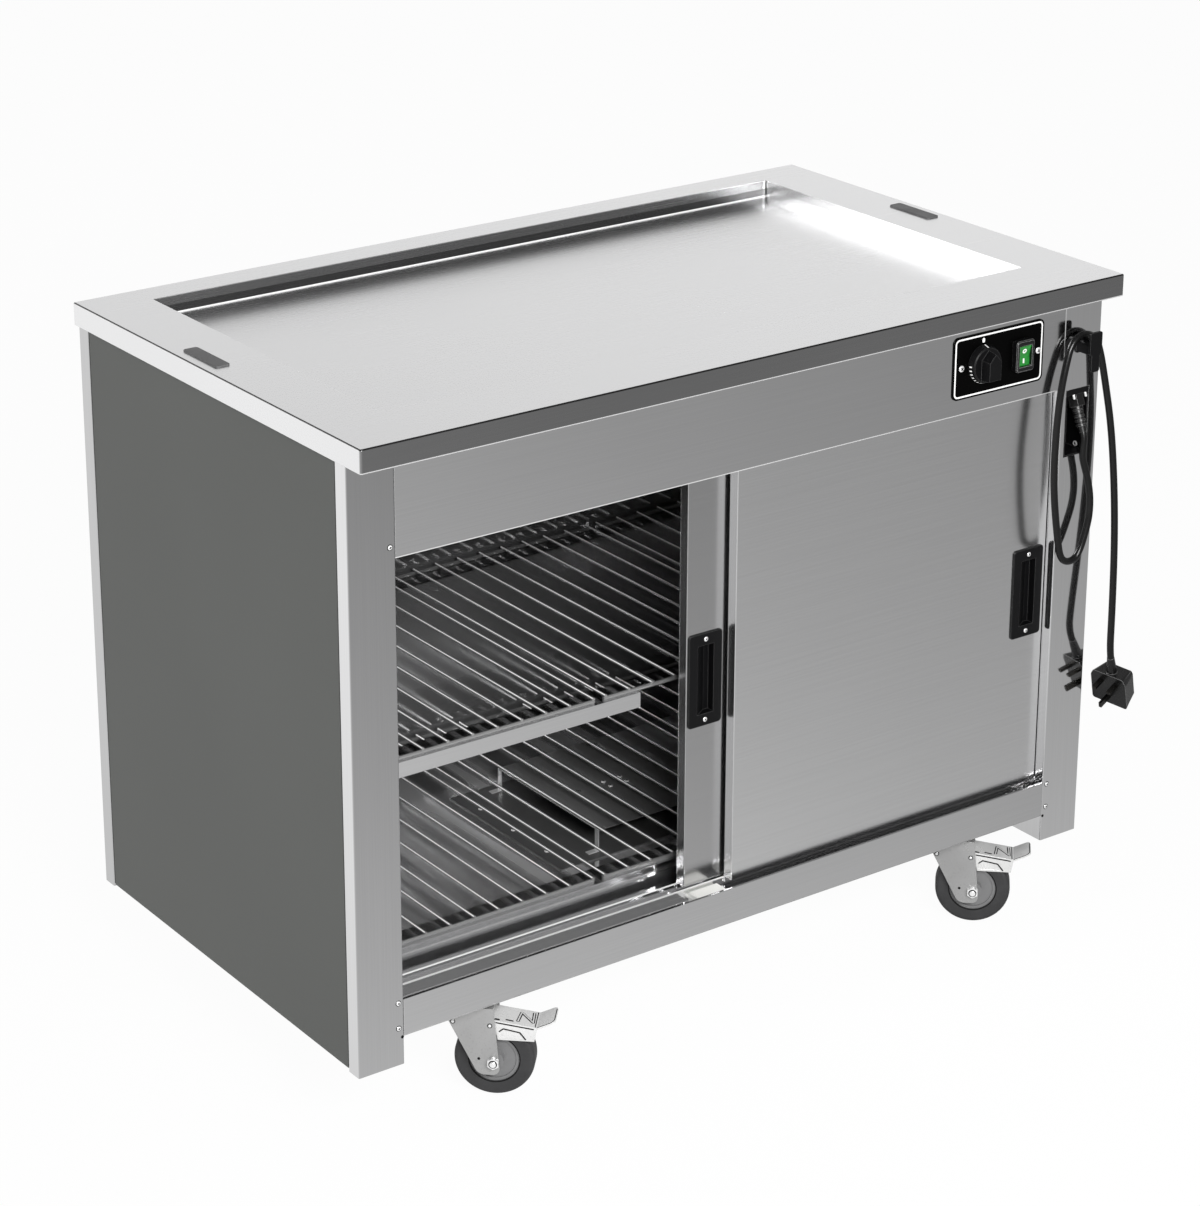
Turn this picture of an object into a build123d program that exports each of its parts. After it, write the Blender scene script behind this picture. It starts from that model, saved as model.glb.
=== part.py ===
"""Mobile heated servery unit: a counter with a shallow well over a two-door hot cupboard.

Millimetres. The origin is on the floor under the middle of the worktop, x runs to the right,
y runs from the operator's doors to the back, z runs up.
"""
from build123d import *
import os
from math import cos, radians, sin, tan

# Worktop
TOP_WIDTH = 1155.0
TOP_DEPTH = 675.0
TOP_HEIGHT = 900.0
TOP_EDGE = 29.0
TOP_SHEET = 1.5
TOP_RETURN = 15.0
TOP_CORNER = 3.0
TOP_NOSE = 2.0
BODY_TOP = TOP_HEIGHT - TOP_EDGE

# Shallow well in the worktop
WELL_END_MARGIN = 87.5
WELL_FRONT_MARGIN = 97.5
WELL_BACK_MARGIN = 47.5
WELL_WIDTH = TOP_WIDTH - 2 * WELL_END_MARGIN
WELL_LENGTH = TOP_DEPTH - WELL_FRONT_MARGIN - WELL_BACK_MARGIN
WELL_BACK_SHIFT = (WELL_FRONT_MARGIN - WELL_BACK_MARGIN) / 2
WELL_CORNER = 2.0
WELL_RIM = 12.0
WELL_DROP = 24.0
PAN_SHEET = 1.0
PAN_GAP = 0.3
PAN_FLANGE = 18.0

# Blanking caps over the gantry sockets at both ends of the worktop
CAP_WIDTH = 20.0
CAP_LENGTH = 81.0
CAP_CORNER = 4.0
CAP_RISE = 2.0
CAP_EDGE = 0.8
CAP_INSET = 24.5
CAP_BACK_SHIFT = 44.0
SOCKET_WIDTH = 14.0
SOCKET_LENGTH = 74.0
SOCKET_PLUG = 10.0
SOCKET_GAP = 0.2

# Corner posts and cladding panels
END_OVERHANG = 2.0
FRONT_OVERHANG = 35.5
BACK_OVERHANG = 9.5
BODY_WIDTH = TOP_WIDTH - 2 * END_OVERHANG
BODY_FRONT = FRONT_OVERHANG - TOP_DEPTH / 2
BODY_BACK = TOP_DEPTH / 2 - BACK_OVERHANG
SHEET = 1.5
POST_WIDTH = 64.0
POST_INNER = BODY_WIDTH / 2 - POST_WIDTH
POST_FOOT = 102.0
POST_CHEEK = 23.0
POST_RETURN = 62.0
POST_LIP = 12.0
POST_BEND = 1.8
LEDGE = 16.0
PANEL_REBATE = 6.0
PANEL_THICK = 5.0
PANEL_GAP = 2.0
PANEL_FOOT = 105.0

# Face frame between the front posts
FASCIA_HEIGHT = 124.3
FASCIA_BOTTOM = BODY_TOP - FASCIA_HEIGHT
FASCIA_RETURN = 11.0
RAIL_BOTTOM = 139.9
RAIL_TOP = 187.5
RAIL_HEM = 3.0

# Base and cupboard liner
BASE_BOTTOM = 138.0
BASE_SHEET = 1.5
LINER_SHEET = 1.2
LINER_FLOOR = 172.0
LINER_INSET = 1.0
LINER_X = POST_INNER - LINER_INSET
LINER_BACK_GAP = 56.0
LINER_BACK = BODY_BACK - LINER_BACK_GAP
CEILING_DROP = 1.7
CEILING = FASCIA_BOTTOM - CEILING_DROP
FLOOR_UPSTAND = 30.0
FLOOR_HEM = 5.0
FLOOR_BEND = 2.0
FLOOR_BACK_TURN = 16.0
FLOOR_SETBACK = 85.8
FLOOR_FRONT = BODY_FRONT + FLOOR_SETBACK

# Sliding doors, each a tray closed by a back sheet that runs on as a guide lip
DOOR_OVERLAP = 14.0
DOOR_WIDTH = POST_INNER + DOOR_OVERLAP / 2
DOOR_THICK = 15.0
DOOR_SKIN = 1.0
DOOR_BACK_SHEET = 1.0
DOOR_EDGE = 1.2
DOOR_BOTTOM = 188.5
DOOR_TUCK = 9.3
DOOR_TOP = FASCIA_BOTTOM + DOOR_TUCK
DOOR_LIP = 7.5
DOOR_END_GAP = 1.0
DOOR_SETBACK = 16.0
DOOR_PITCH = 20.0
FRONT_DOOR_FACE = BODY_FRONT + DOOR_SETBACK
REAR_DOOR_FACE = FRONT_DOOR_FACE + DOOR_PITCH
LEFT_DOOR_OPEN = 442.0
LEFT_DOOR_EDGE = LEFT_DOOR_OPEN + DOOR_END_GAP - POST_INNER

# Top track and the nylon hangers that slide in it
TRACK_GAP = 6.0
TRACK_HEIGHT = 24.0
TRACK_BOTTOM = DOOR_TOP + TRACK_GAP
TRACK_TOP = TRACK_BOTTOM + TRACK_HEIGHT
TRACK_SHEET = 1.5
TRACK_LIP = 5.0
TRACK_LIP_SHEET = 1.2
HANGER_INSET = 60.0
HANGER_STEM_LENGTH = 30.0
HANGER_STEM_THICK = 5.0
HANGER_HEAD_LENGTH = 40.0
HANGER_HEAD_WIDTH = 14.0
HANGER_HEAD_HEIGHT = 9.0
HANGER_GAP = 0.3

# Sill with one channel for each door, and the centre guide that keeps the front door in
SILL_SHEET = 1.2
SILL_FLOOR = 178.0
SILL_TOP = 186.5
SILL_RIB = 3.0
SILL_CHANNELS = 52.5
SILL_REAR_WALL = BODY_FRONT + SILL_CHANNELS
GUIDE_LEFT = -67.0
GUIDE_LENGTH = 45.0
GUIDE_TOP = 185.0
GUIDE_BASE = 2.0
GUIDE_SLOT = 4.5
GUIDE_FRONT_GAP = 2.0
GUIDE_CHAMFER = 1.5

# Flush pulls: a moulded plate with a finger pocket that deepens to the right
PULL_WIDTH = 52.0
PULL_HEIGHT = 125.0
PULL_PLATE = 2.2
PULL_CORNER = 5.0
PULL_EDGE = 0.8
LEFT_PULL_INSET = 2.5
RIGHT_PULL_INSET = 5.0
PULL_DROP = 5.25
PULL_HEIGHT_CENTRE = (DOOR_BOTTOM + DOOR_TOP) / 2 - PULL_DROP
POCKET_HALF_WIDTH = 12.6
POCKET_FLOOR = 7.6
POCKET_DEPTH = 9.0
POCKET_HEIGHT = 92.0
POCKET_WALL = 2.0
POCKET_GAP = 0.4

# Wire grids and the angles that carry them
BEARER_SETBACK = 74.0
BEARER_FRONT = BODY_FRONT + BEARER_SETBACK
GRID_GAP = 14.4
GRID_SIDE_GAP = 8.6
GRID_WIDTH = (2 * (LINER_X - GRID_SIDE_GAP) - 2 * GRID_GAP) / 3
GRID_PITCH = GRID_WIDTH + GRID_GAP
GRID_FRONT_INSET = 4.0
GRID_BACK_GAP = 8.0
GRID_FRONT = BEARER_FRONT + GRID_FRONT_INSET
GRID_BACK = LINER_BACK - GRID_BACK_GAP
GRID_WIRES = 10
WIRE = 4.0
ROD = 5.0
ROD_INSET = ROD / 2
WELD = 0.3
UPPER_BEARER_TOP = 453.0
LOWER_BEARER_RISE = 22.5
LOWER_BEARER_FACE = 14.0
LOWER_BEARER_TOP = SILL_TOP + LOWER_BEARER_RISE
BEARER_SHEET = 1.2
BEARER_FACE = 20.0
BEARER_FLANGE = 38.0
BACK_BEARER_FLANGE = 38.0
UPPER_BEARER_INNER_END = 110.0
BEARER_END_RETURN = 8.0

# Floor heater under a raised cover
HEATER_LEFT = -81.0
HEATER_RIGHT = 243.0
HEATER_FRONT = -100.0
HEATER_BACK = 131.0
HEATER_SHEET = 1.2
HEATER_LEG_WIDTH = 8.0
HEATER_FOOT = 15.0
HEATER_BASE_THICK = 2.0
HEATER_FLOOR = LINER_FLOOR + HEATER_BASE_THICK
HEATER_RISE = 31.0
HEATER_TOP = HEATER_FLOOR + HEATER_RISE
HEATER_BASE_LEFT = -150.0
HEATER_BASE_MARGIN = 14.0
ELEMENT_ROD = 8.5
ELEMENT_RISE = 14.0
ELEMENT_HEIGHT = HEATER_FLOOR + ELEMENT_RISE
ELEMENT_PITCH = 55.0
ELEMENT_RUNS = 4
ELEMENT_FRONT = -70.0
ELEMENT_LEFT = -55.0
ELEMENT_INNER_RIGHT = 200.0
ELEMENT_BEND = 24.0
TERMINAL_LEFT = 222.0
TERMINAL_THICK = 8.0
TERMINAL_MARGIN = 15.0
TERMINAL_RISE = 24.0
TERMINAL_TOP = HEATER_FLOOR + TERMINAL_RISE

# Control plate with thermostat and illuminated switch
PLATE_WIDTH = 153.0
PLATE_HEIGHT = 83.0
PLATE_THICK = 1.5
PLATE_CORNER = 8.0
PLATE_INSET = 115.0
PLATE_DROP = 61.5
PLATE_X = POST_INNER - PLATE_INSET
PLATE_Z = BODY_TOP - PLATE_DROP
KNOB_OFFSET = 26.0
KNOB_X = PLATE_X - KNOB_OFFSET
KNOB_RADIUS = 26.0
KNOB_SKIRT = 9.0
KNOB_FACE_RADIUS = 23.0
KNOB_GAP = 0.3
KNOB_EDGE = 1.0
GRIP_HEIGHT = 14.0
GRIP_HALF_WIDTH = 11.0
GRIP_POINT = 20.0
GRIP_SHOULDER = 8.0
GRIP_TAIL = 18.5
GRIP_TAPER = 6.0
SPINDLE = 6.0
SPINDLE_LENGTH = 16.0
SPINDLE_GAP = 0.05
THERMOSTAT_SIZE = 34.0
THERMOSTAT_DEPTH = 28.0
SWITCH_OFFSET = 38.5
SWITCH_X = PLATE_X + SWITCH_OFFSET
BEZEL_WIDTH = 30.0
BEZEL_HEIGHT = 42.0
BEZEL_DEPTH = 9.0
BEZEL_CORNER = 4.0
BEZEL_EDGE = 1.5
SWITCH_BODY_WIDTH = 24.0
SWITCH_BODY_HEIGHT = 31.0
SWITCH_BODY_DEPTH = 22.0
SWITCH_BODY_GAP = 0.3
ROCKER_WIDTH = 20.0
ROCKER_HEIGHT = 27.0
ROCKER_GAP = 0.6
ROCKER_PIVOT_DEPTH = 2.0
ROCKER_THICK = 5.0
ROCKER_DISH = 2.0
ROCKER_TILT = 6.0
ROCKER_WELL_DEPTH = 9.0

# Cable recess in the right front post
RECESS_INSET = 36.3
RECESS_DROP = 173.5
RECESS_X = BODY_WIDTH / 2 - RECESS_INSET
RECESS_Z = BODY_TOP - RECESS_DROP
RECESS_WIDTH = 40.5
RECESS_HEIGHT = 92.0
RECESS_DEPTH = 38.0
RECESS_WALL = 2.0
RECESS_GAP = 0.2
GLAND_SHIFT = 6.3
GLAND_SETBACK = 12.7
GLAND_RISE = 32.6
GLAND_X = RECESS_X + GLAND_SHIFT
GLAND_Y = BODY_FRONT + GLAND_SETBACK
GLAND_Z = RECESS_Z + GLAND_RISE
GLAND_LEAN = 23.0
GLAND_NUT_RADIUS = 11.4
GLAND_NUT = 16.0
GLAND_COLLAR_RADIUS = 8.0
GLAND_COLLAR = 4.0
BOOT_LENGTH = 30.0
BOOT_TOP_RADIUS = 7.0
BOOT_TIP_RADIUS = 5.2
BOOT_RIBS = 4
BOOT_RIB_RADIUS = 7.4
BOOT_RIB = 2.5

# Cord hook on the right front post
HOOK_INSET = 36.5
HOOK_DROP = 57.0
HOOK_X = BODY_WIDTH / 2 - HOOK_INSET
HOOK_ARM_WIDTH = 14.0
HOOK_ARM_TOP = BODY_TOP - HOOK_DROP
HOOK_ARM_HEIGHT = 18.0
HOOK_REACH = 27.0
HOOK_BASE_THICK = 1.5
HOOK_BASE_WIDTH = 16.0
HOOK_BASE_HEIGHT = 24.0
HOOK_LIP_THICK = 3.0
HOOK_LIP_WIDTH = 20.5
HOOK_LIP_RISE = 13.0
HOOK_LIP_HEAD = 30.0
HOOK_LIP_HEIGHT = 53.5
HOOK_LIP_TOP = HOOK_ARM_TOP + HOOK_LIP_RISE
HOOK_LIP_SHOULDER = HOOK_LIP_TOP - HOOK_LIP_HEAD
HOOK_LIP_BOTTOM = HOOK_LIP_TOP - HOOK_LIP_HEIGHT
HOOK_LOBE_WIDTH = 14.0
HOOK_CORNER = 3.0

# Mains lead, from the gland round the hook to the plug. Its points after the gland are given from the
# top outer corner of the right front post
CORD = 9.4
CORD_GAP = 0.01
CORD_LEAD_OUT = 8.0
CORD_BEND_SHARE = 0.45
CORD_HANG = [
    (-32.5, -11.0, -208.0),
    (-32.7, -11.2, -219.5),
    (-29.5, -11.7, -231.0),
    (-25.9, -12.4, -242.0),
    (-21.9, -13.6, -257.0),
    (-19.1, -15.2, -276.0),
    (-19.9, -16.8, -296.0),
    (-24.3, -18.3, -315.0),
    (-39.0, -19.6, -353.5),
    (-55.8, -19.8, -359.9),
    (-71.8, -19.6, -351.6),
    (-77.9, -19.0, -321.0),
    (-82.8, -18.0, -288.0),
    (-86.1, -17.0, -257.0),
    (-87.0, -16.0, -222.7),
    (-85.9, -15.0, -191.0),
    (-83.5, -14.0, -157.0),
    (-78.9, -13.0, -121.0),
    (-70.6, -11.5, -88.0),
    (-60.5, -9.5, -59.2),
    (-39.5, -9.0, -49.2),
    (-16.9, -9.0, -58.9),
    (-8.6, -10.5, -81.8),
    (-1.4, -14.0, -121.0),
    (7.9, -18.5, -176.7),
    (12.4, -23.0, -233.2),
    (14.4, -28.0, -296.5),
    (13.8, -32.5, -359.9),
    (11.3, -36.5, -423.5),
    (9.6, -38.5, -459.6),
    (8.7, -39.5, -491.4),
    (13.6, -36.8, -506.4),
]

# Three-pin plug
PLUG_WIDTH = 54.0
PLUG_NECK_WIDTH = 46.0
PLUG_LENGTH = 51.0
PLUG_SHOULDER = 9.0
PLUG_DEPTH = 28.0
PLUG_CORNER = 4.0
PLUG_DRAFT = 12.0
PLUG_FACE = 10.0
PLUG_SLEEVE = 24.0
PLUG_SLEEVE_TIP_RADIUS = 5.0
PLUG_SLEEVE_ROOT_RADIUS = 7.0
PIN_AIM = (-0.95, -0.22, -0.23)
PIN_ROW = 14.0
PIN_SPREAD = 22.2
PIN_EARTH_STEP = 22.2
LINE_PIN = (17.7, 6.35, 3.97)
EARTH_PIN = (22.7, 3.97, 7.9)

# Castors: swivel axes, trail and wheel
CASTOR_SIDE_INSET = 121.5
CASTOR_END_INSET = 62.0
CASTOR_X = POST_INNER - CASTOR_SIDE_INSET
CASTOR_FRONT_Y = BODY_FRONT + CASTOR_END_INSET
CASTOR_BACK_Y = BODY_BACK - CASTOR_END_INSET
CASTOR_TURN = 42.0
CASTOR_PLATE_WIDTH = 105.0
CASTOR_PLATE_DEPTH = 85.0
CASTOR_PLATE_THICK = 3.0
CASTOR_PLATE_CORNER = 8.0
CASTOR_BOLT_X = 80.0
CASTOR_BOLT_Y = 60.0
CASTOR_BOLT_HOLE = 9.0
RACE_RADIUS = 26.0
RACE_HEIGHT = 5.5
RACE_GAP = 0.5
KING_PIN = 12.0
KING_GAP = 0.05
KING_HEAD_RADIUS = 10.0
KING_HEAD = 4.0
CROWN_RADIUS = 27.0
CROWN_HEIGHT = 6.0
CROWN_PLATE = 3.0
TRAIL = 43.0
WHEEL = 100.0
TYRE_WIDTH = 30.0
TYRE_SHOULDER = 6.0
HUB = 62.0
HUB_WIDTH = 26.0
HUB_DISH = 1.5
HUB_RIM = 4.0
HUB_BOSS_RADIUS = 12.0
HUB_BOSS_WIDTH = 40.0
TYRE_GAP = 0.05
AXLE = 8.0
AXLE_GAP = 0.05
AXLE_NUT_RADIUS = 7.5
AXLE_NUT = 5.0
LEG_THICK = 3.0
LEG_GAP = 1.0
LEG_BACK = -19.7
LEG_FRONT = 43.5
LEG_HEEL = 24.2
LEG_TOE = 51.5
LEG_FOOT = 32.5
LEG_HEEL_RADIUS = 14.0
LEG_TOE_RADIUS = 9.0

# Brake pedal: a pressed channel that pivots on the fork legs over the wheel
PEDAL_PIVOT_U = 39.0
PEDAL_PIVOT_Z = 100.0
PEDAL_PIN = 6.0
PEDAL_PIN_GAP = 0.05
PEDAL_HALF_WIDTH = 19.5
PEDAL_SHEET = 2.0
PEDAL_NOSE_U = 32.0
PEDAL_NOSE_Z = 107.0
PEDAL_HEEL_U = 96.0
PEDAL_HEEL_Z = 98.0
PEDAL_TAB_U = 118.0
PEDAL_TAB_Z = 108.0
PEDAL_TAB_CORNER = 6.0
PEDAL_CHEEK_BACK = 48.0
PEDAL_CHEEK_FRONT = 93.0
PEDAL_CHEEK_FOOT = 79.0
PEDAL_PRESSED = [(50.0, 82.0), (82.0, 81.0), (75.0, 90.0), (55.0, 94.0), (50.0, 90.0)]
PEDAL_PRESS_DEPTH = 0.8

# Places worked out from the sizes above
LEDGE_X = BODY_WIDTH / 2 - PANEL_REBATE
LEDGE_Y = BODY_BACK - PANEL_REBATE
POST_BACK_OF_RETURN = BODY_FRONT + POST_RETURN
FLOOR_UNDER = LINER_FLOOR - LINER_SHEET
FACE_BACK = BODY_FRONT + SHEET
RIGHT_DOOR_EDGE = POST_INNER - DOOR_END_GAP - DOOR_WIDTH
DOOR_TRAY = DOOR_THICK - DOOR_BACK_SHEET
FRONT_DOOR_MID = FRONT_DOOR_FACE + DOOR_THICK / 2
REAR_DOOR_MID = REAR_DOOR_FACE + DOOR_THICK / 2
TRACK_BACK = REAR_DOOR_MID + (DOOR_PITCH + TRACK_SHEET) / 2
PLATE_FRONT = BODY_FRONT - PLATE_THICK
CROWN_TOP = BASE_BOTTOM - CASTOR_PLATE_THICK - RACE_HEIGHT - RACE_GAP
CROWN_BOTTOM = CROWN_TOP - CROWN_HEIGHT
LEG_TOP = CROWN_BOTTOM - CROWN_PLATE
LEG_INNER = HUB_BOSS_WIDTH / 2 + LEG_GAP
LEG_OUTER = LEG_INNER + LEG_THICK
WHEEL_Z = WHEEL / 2


def span(x0, x1, y0, y1, z0, z1):
    """A block between two corners."""
    centre = Pos((x0 + x1) / 2, (y0 + y1) / 2, (z0 + z1) / 2)
    return centre * Box(x1 - x0, y1 - y0, z1 - z0)


def folded(path, sheet, bend=0.0, side=Side.LEFT):
    """Section of a folded sheet. The path is one face and the sheet lies to the given side of it."""
    if bend:
        line = Wire(FilletPolyline(*path, radius=bend).edges())
    else:
        line = Wire.make_polygon([Vector(*point) for point in path], close=False)
    return Face(line.offset_2d(sheet, kind=Kind.INTERSECTION, side=side, closed=True))


def upright(section, z0, z1):
    """Extrude a plan section from one height to another."""
    return extrude(Pos(0, 0, z0) * section, z1 - z0, dir=(0, 0, 1))


def lengthwise(section, x0, x1):
    """Extrude a section drawn in y and z from one x to another."""
    return extrude(Pos(x0, 0, 0) * (Plane.YZ * section), x1 - x0, dir=(1, 0, 0))


def deep(section, y0, y1):
    """Extrude a section drawn in x and z from one y to another."""
    return extrude(Pos(0, y0, 0) * (Plane.XZ * section), y1 - y0, dir=(0, 1, 0))


def outline(points):
    """A flat face inside straight edges."""
    return Face(Wire.make_polygon([Vector(*point) for point in points], close=True))


def across(radius, length, x=0.0, y=0.0, z=0.0):
    """A round bar along y, centred on the given point."""
    return Pos(x, y, z) * Rot(90, 0, 0) * Cylinder(radius, length)


def other_side(shape):
    """The same piece on the other side of the unit."""
    return mirror(shape, about=Plane.YZ)


def worktop():
    """Folded top with turned-in edges, and a rim turned down round the well."""
    slab = span(-TOP_WIDTH / 2, TOP_WIDTH / 2, -TOP_DEPTH / 2, TOP_DEPTH / 2, BODY_TOP, TOP_HEIGHT)
    slab = fillet(slab.edges().filter_by(Axis.Z), TOP_CORNER)
    slab = fillet(slab.faces().sort_by(Axis.Z)[-1].edges(), TOP_NOSE)
    inside_x = TOP_WIDTH / 2 - TOP_SHEET
    inside_y = TOP_DEPTH / 2 - TOP_SHEET
    under = TOP_HEIGHT - TOP_SHEET
    slab -= span(-inside_x, inside_x, -inside_y, inside_y, BODY_TOP + TOP_SHEET, under)
    mouth_x = TOP_WIDTH / 2 - TOP_RETURN
    mouth_y = TOP_DEPTH / 2 - TOP_RETURN
    slab -= span(-mouth_x, mouth_x, -mouth_y, mouth_y, BODY_TOP, BODY_TOP + TOP_SHEET)
    slab += upright(well_outline(TOP_SHEET), TOP_HEIGHT - WELL_RIM, under)
    slab -= upright(well_outline(0), TOP_HEIGHT - WELL_RIM, TOP_HEIGHT)
    for x in (-1, 1):
        hole = cap_place(x) * Rectangle(SOCKET_WIDTH, SOCKET_LENGTH)
        slab -= upright(hole, under, TOP_HEIGHT)
    return slab


def well_outline(grow):
    """Plan of the well opening, let out by the given amount all round."""
    return Pos(0, WELL_BACK_SHIFT) * RectangleRounded(
        WELL_WIDTH + 2 * grow, WELL_LENGTH + 2 * grow, WELL_CORNER + grow)


def well_pan():
    """Shallow tray hung under the worktop, its wall just outside the turned-down rim."""
    wall = TOP_SHEET + PAN_GAP
    under = TOP_HEIGHT - TOP_SHEET
    floor = TOP_HEIGHT - WELL_DROP
    pan = upright(well_outline(wall + PAN_SHEET), floor - PAN_SHEET, under)
    pan += upright(well_outline(wall + PAN_FLANGE), under - PAN_SHEET, under)
    return pan - upright(well_outline(wall), floor, under)


def cap_place(side):
    """Where a gantry socket lies on the worktop."""
    return Pos(side * (TOP_WIDTH / 2 - CAP_INSET), CAP_BACK_SHIFT)


def gantry_socket_caps():
    """Two caps, each with a plug that fills the socket under it."""
    caps = []
    for side in (-1, 1):
        cap = upright(cap_place(side) * RectangleRounded(CAP_WIDTH, CAP_LENGTH, CAP_CORNER),
                      TOP_HEIGHT, TOP_HEIGHT + CAP_RISE)
        cap = fillet(cap.faces().sort_by(Axis.Z)[-1].edges(), CAP_EDGE)
        plug = Rectangle(SOCKET_WIDTH - 2 * SOCKET_GAP, SOCKET_LENGTH - 2 * SOCKET_GAP)
        cap += upright(cap_place(side) * plug, TOP_HEIGHT - SOCKET_PLUG, TOP_HEIGHT)
        caps.append(cap)
    return Compound(children=caps)


def front_post():
    """Left front post: ledge for the side panel, cheek, face, deep return and a lip for the liner."""
    outer = -BODY_WIDTH / 2
    cheek = BODY_FRONT + POST_CHEEK
    path = [
        (-LEDGE_X, cheek + LEDGE),
        (-LEDGE_X, cheek),
        (outer, cheek),
        (outer, BODY_FRONT),
        (-POST_INNER, BODY_FRONT),
        (-POST_INNER, POST_BACK_OF_RETURN),
        (-POST_INNER - POST_LIP, POST_BACK_OF_RETURN),
    ]
    return upright(folded(path, SHEET, POST_BEND), POST_FOOT, BODY_TOP)


def front_post_right():
    """The other front post, cut open for the cable recess."""
    opening = Pos(RECESS_X, RECESS_Z) * Rectangle(RECESS_WIDTH, RECESS_HEIGHT)
    return other_side(front_post()) - deep(opening, BODY_FRONT, FACE_BACK)


def rear_post():
    """Left rear post, rebated for the side panel and for the rear panel."""
    outer = -BODY_WIDTH / 2
    cheek = BODY_BACK - POST_CHEEK
    path = [
        (-POST_INNER + LEDGE, LEDGE_Y),
        (-POST_INNER, LEDGE_Y),
        (-POST_INNER, BODY_BACK),
        (outer, BODY_BACK),
        (outer, cheek),
        (-LEDGE_X, cheek),
        (-LEDGE_X, cheek - LEDGE),
    ]
    return upright(folded(path, SHEET, POST_BEND), POST_FOOT, BODY_TOP)


def side_panel():
    """Left laminate panel, standing in the rebates of the two left posts."""
    front = BODY_FRONT + POST_CHEEK + PANEL_GAP
    back = BODY_BACK - POST_CHEEK - PANEL_GAP
    return span(-LEDGE_X - PANEL_THICK, -LEDGE_X, front, back, PANEL_FOOT, BODY_TOP - PANEL_GAP)


def rear_panel():
    """Laminate panel between the rear posts."""
    half = POST_INNER - PANEL_GAP
    return span(-half, half, LEDGE_Y, LEDGE_Y + PANEL_THICK, PANEL_FOOT, BODY_TOP - PANEL_GAP)


def fascia():
    """Shallow tray flush with the post faces, holding the controls."""
    tray = span(-POST_INNER, POST_INNER, BODY_FRONT, BODY_FRONT + FASCIA_RETURN, FASCIA_BOTTOM, BODY_TOP)
    tray -= span(-POST_INNER + SHEET, POST_INNER - SHEET, FACE_BACK, BODY_FRONT + FASCIA_RETURN,
                 FASCIA_BOTTOM + SHEET, BODY_TOP - SHEET)
    return tray - control_holes(BODY_FRONT, FACE_BACK)


def control_holes(y0, y1):
    """Holes for the thermostat spindle and the switch body."""
    holes = Pos(KNOB_X, PLATE_Z) * Circle(SPINDLE / 2 + SPINDLE_GAP)
    gap = 2 * SWITCH_BODY_GAP
    holes += Pos(SWITCH_X, PLATE_Z) * Rectangle(SWITCH_BODY_WIDTH + gap, SWITCH_BODY_HEIGHT + gap)
    return deep(holes, y0, y1)


def bottom_rail():
    """Face rail under the doors, hemmed back over the front lip of the sill."""
    path = [
        (BODY_FRONT + RAIL_HEM, RAIL_TOP),
        (BODY_FRONT, RAIL_TOP),
        (BODY_FRONT, RAIL_BOTTOM),
    ]
    return lengthwise(folded(path, SHEET), -POST_INNER, POST_INNER)


def base_pan():
    """Base tray that carries the castors and the liner."""
    back = LEDGE_Y - SHEET
    pan = span(-POST_INNER, POST_INNER, FACE_BACK, back, BASE_BOTTOM, FLOOR_UNDER)
    return pan - span(-POST_INNER + BASE_SHEET, POST_INNER - BASE_SHEET, FACE_BACK + BASE_SHEET,
                      back - BASE_SHEET, BASE_BOTTOM + BASE_SHEET, FLOOR_UNDER)


def cupboard_liner():
    """One sheet folded round both sides and the back of the cupboard."""
    lip = POST_INNER + POST_LIP
    path = [
        (-lip, POST_BACK_OF_RETURN),
        (-LINER_X, POST_BACK_OF_RETURN),
        (-LINER_X, LINER_BACK),
        (LINER_X, LINER_BACK),
        (LINER_X, POST_BACK_OF_RETURN),
        (lip, POST_BACK_OF_RETURN),
    ]
    return upright(folded(path, LINER_SHEET), FLOOR_UNDER, CEILING)


def cupboard_ceiling():
    """Ceiling sheet on the liner, turned up behind the door track."""
    path = [
        (TRACK_BACK, TRACK_TOP),
        (TRACK_BACK, CEILING),
        (LINER_BACK + LINER_SHEET, CEILING),
    ]
    return lengthwise(folded(path, LINER_SHEET), -POST_INNER, POST_INNER)


def floor_pan():
    """Cupboard floor with a hemmed front upstand and a turned-up back."""
    top = LINER_FLOOR + FLOOR_UPSTAND
    path = [
        (FLOOR_FRONT + FLOOR_HEM, top),
        (FLOOR_FRONT, top),
        (FLOOR_FRONT, FLOOR_UNDER),
        (LINER_BACK, FLOOR_UNDER),
        (LINER_BACK, FLOOR_UNDER + FLOOR_BACK_TURN),
    ]
    return lengthwise(folded(path, LINER_SHEET, FLOOR_BEND), -LINER_X, LINER_X)


def door_top_track():
    """Twin track: three webs under a plate, with lips that carry the hangers."""
    front = FRONT_DOOR_MID - (DOOR_PITCH + TRACK_SHEET) / 2
    plate_z = TRACK_TOP - TRACK_SHEET / 2
    section = Pos((front + TRACK_BACK) / 2, plate_z) * Rectangle(TRACK_BACK - front, TRACK_SHEET)
    middle_z = (TRACK_TOP + TRACK_BOTTOM) / 2
    lip_z = TRACK_BOTTOM + TRACK_LIP_SHEET / 2
    for web in range(3):
        y = FRONT_DOOR_MID + (web - 0.5) * DOOR_PITCH
        section += Pos(y, middle_z) * Rectangle(TRACK_SHEET, TRACK_TOP - TRACK_BOTTOM)
    for middle in (FRONT_DOOR_MID, REAR_DOOR_MID):
        for side in (-1, 1):
            y = middle + side * (DOOR_PITCH - TRACK_SHEET - TRACK_LIP) / 2
            section += Pos(y, lip_z) * Rectangle(TRACK_LIP, TRACK_LIP_SHEET)
    return lengthwise(section, -POST_INNER, POST_INNER)


def sill_rib():
    """Front and back faces of the rib between the two door channels."""
    middle = (FRONT_DOOR_FACE + DOOR_THICK + REAR_DOOR_FACE) / 2
    return middle - SILL_RIB / 2, middle + SILL_RIB / 2


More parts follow.
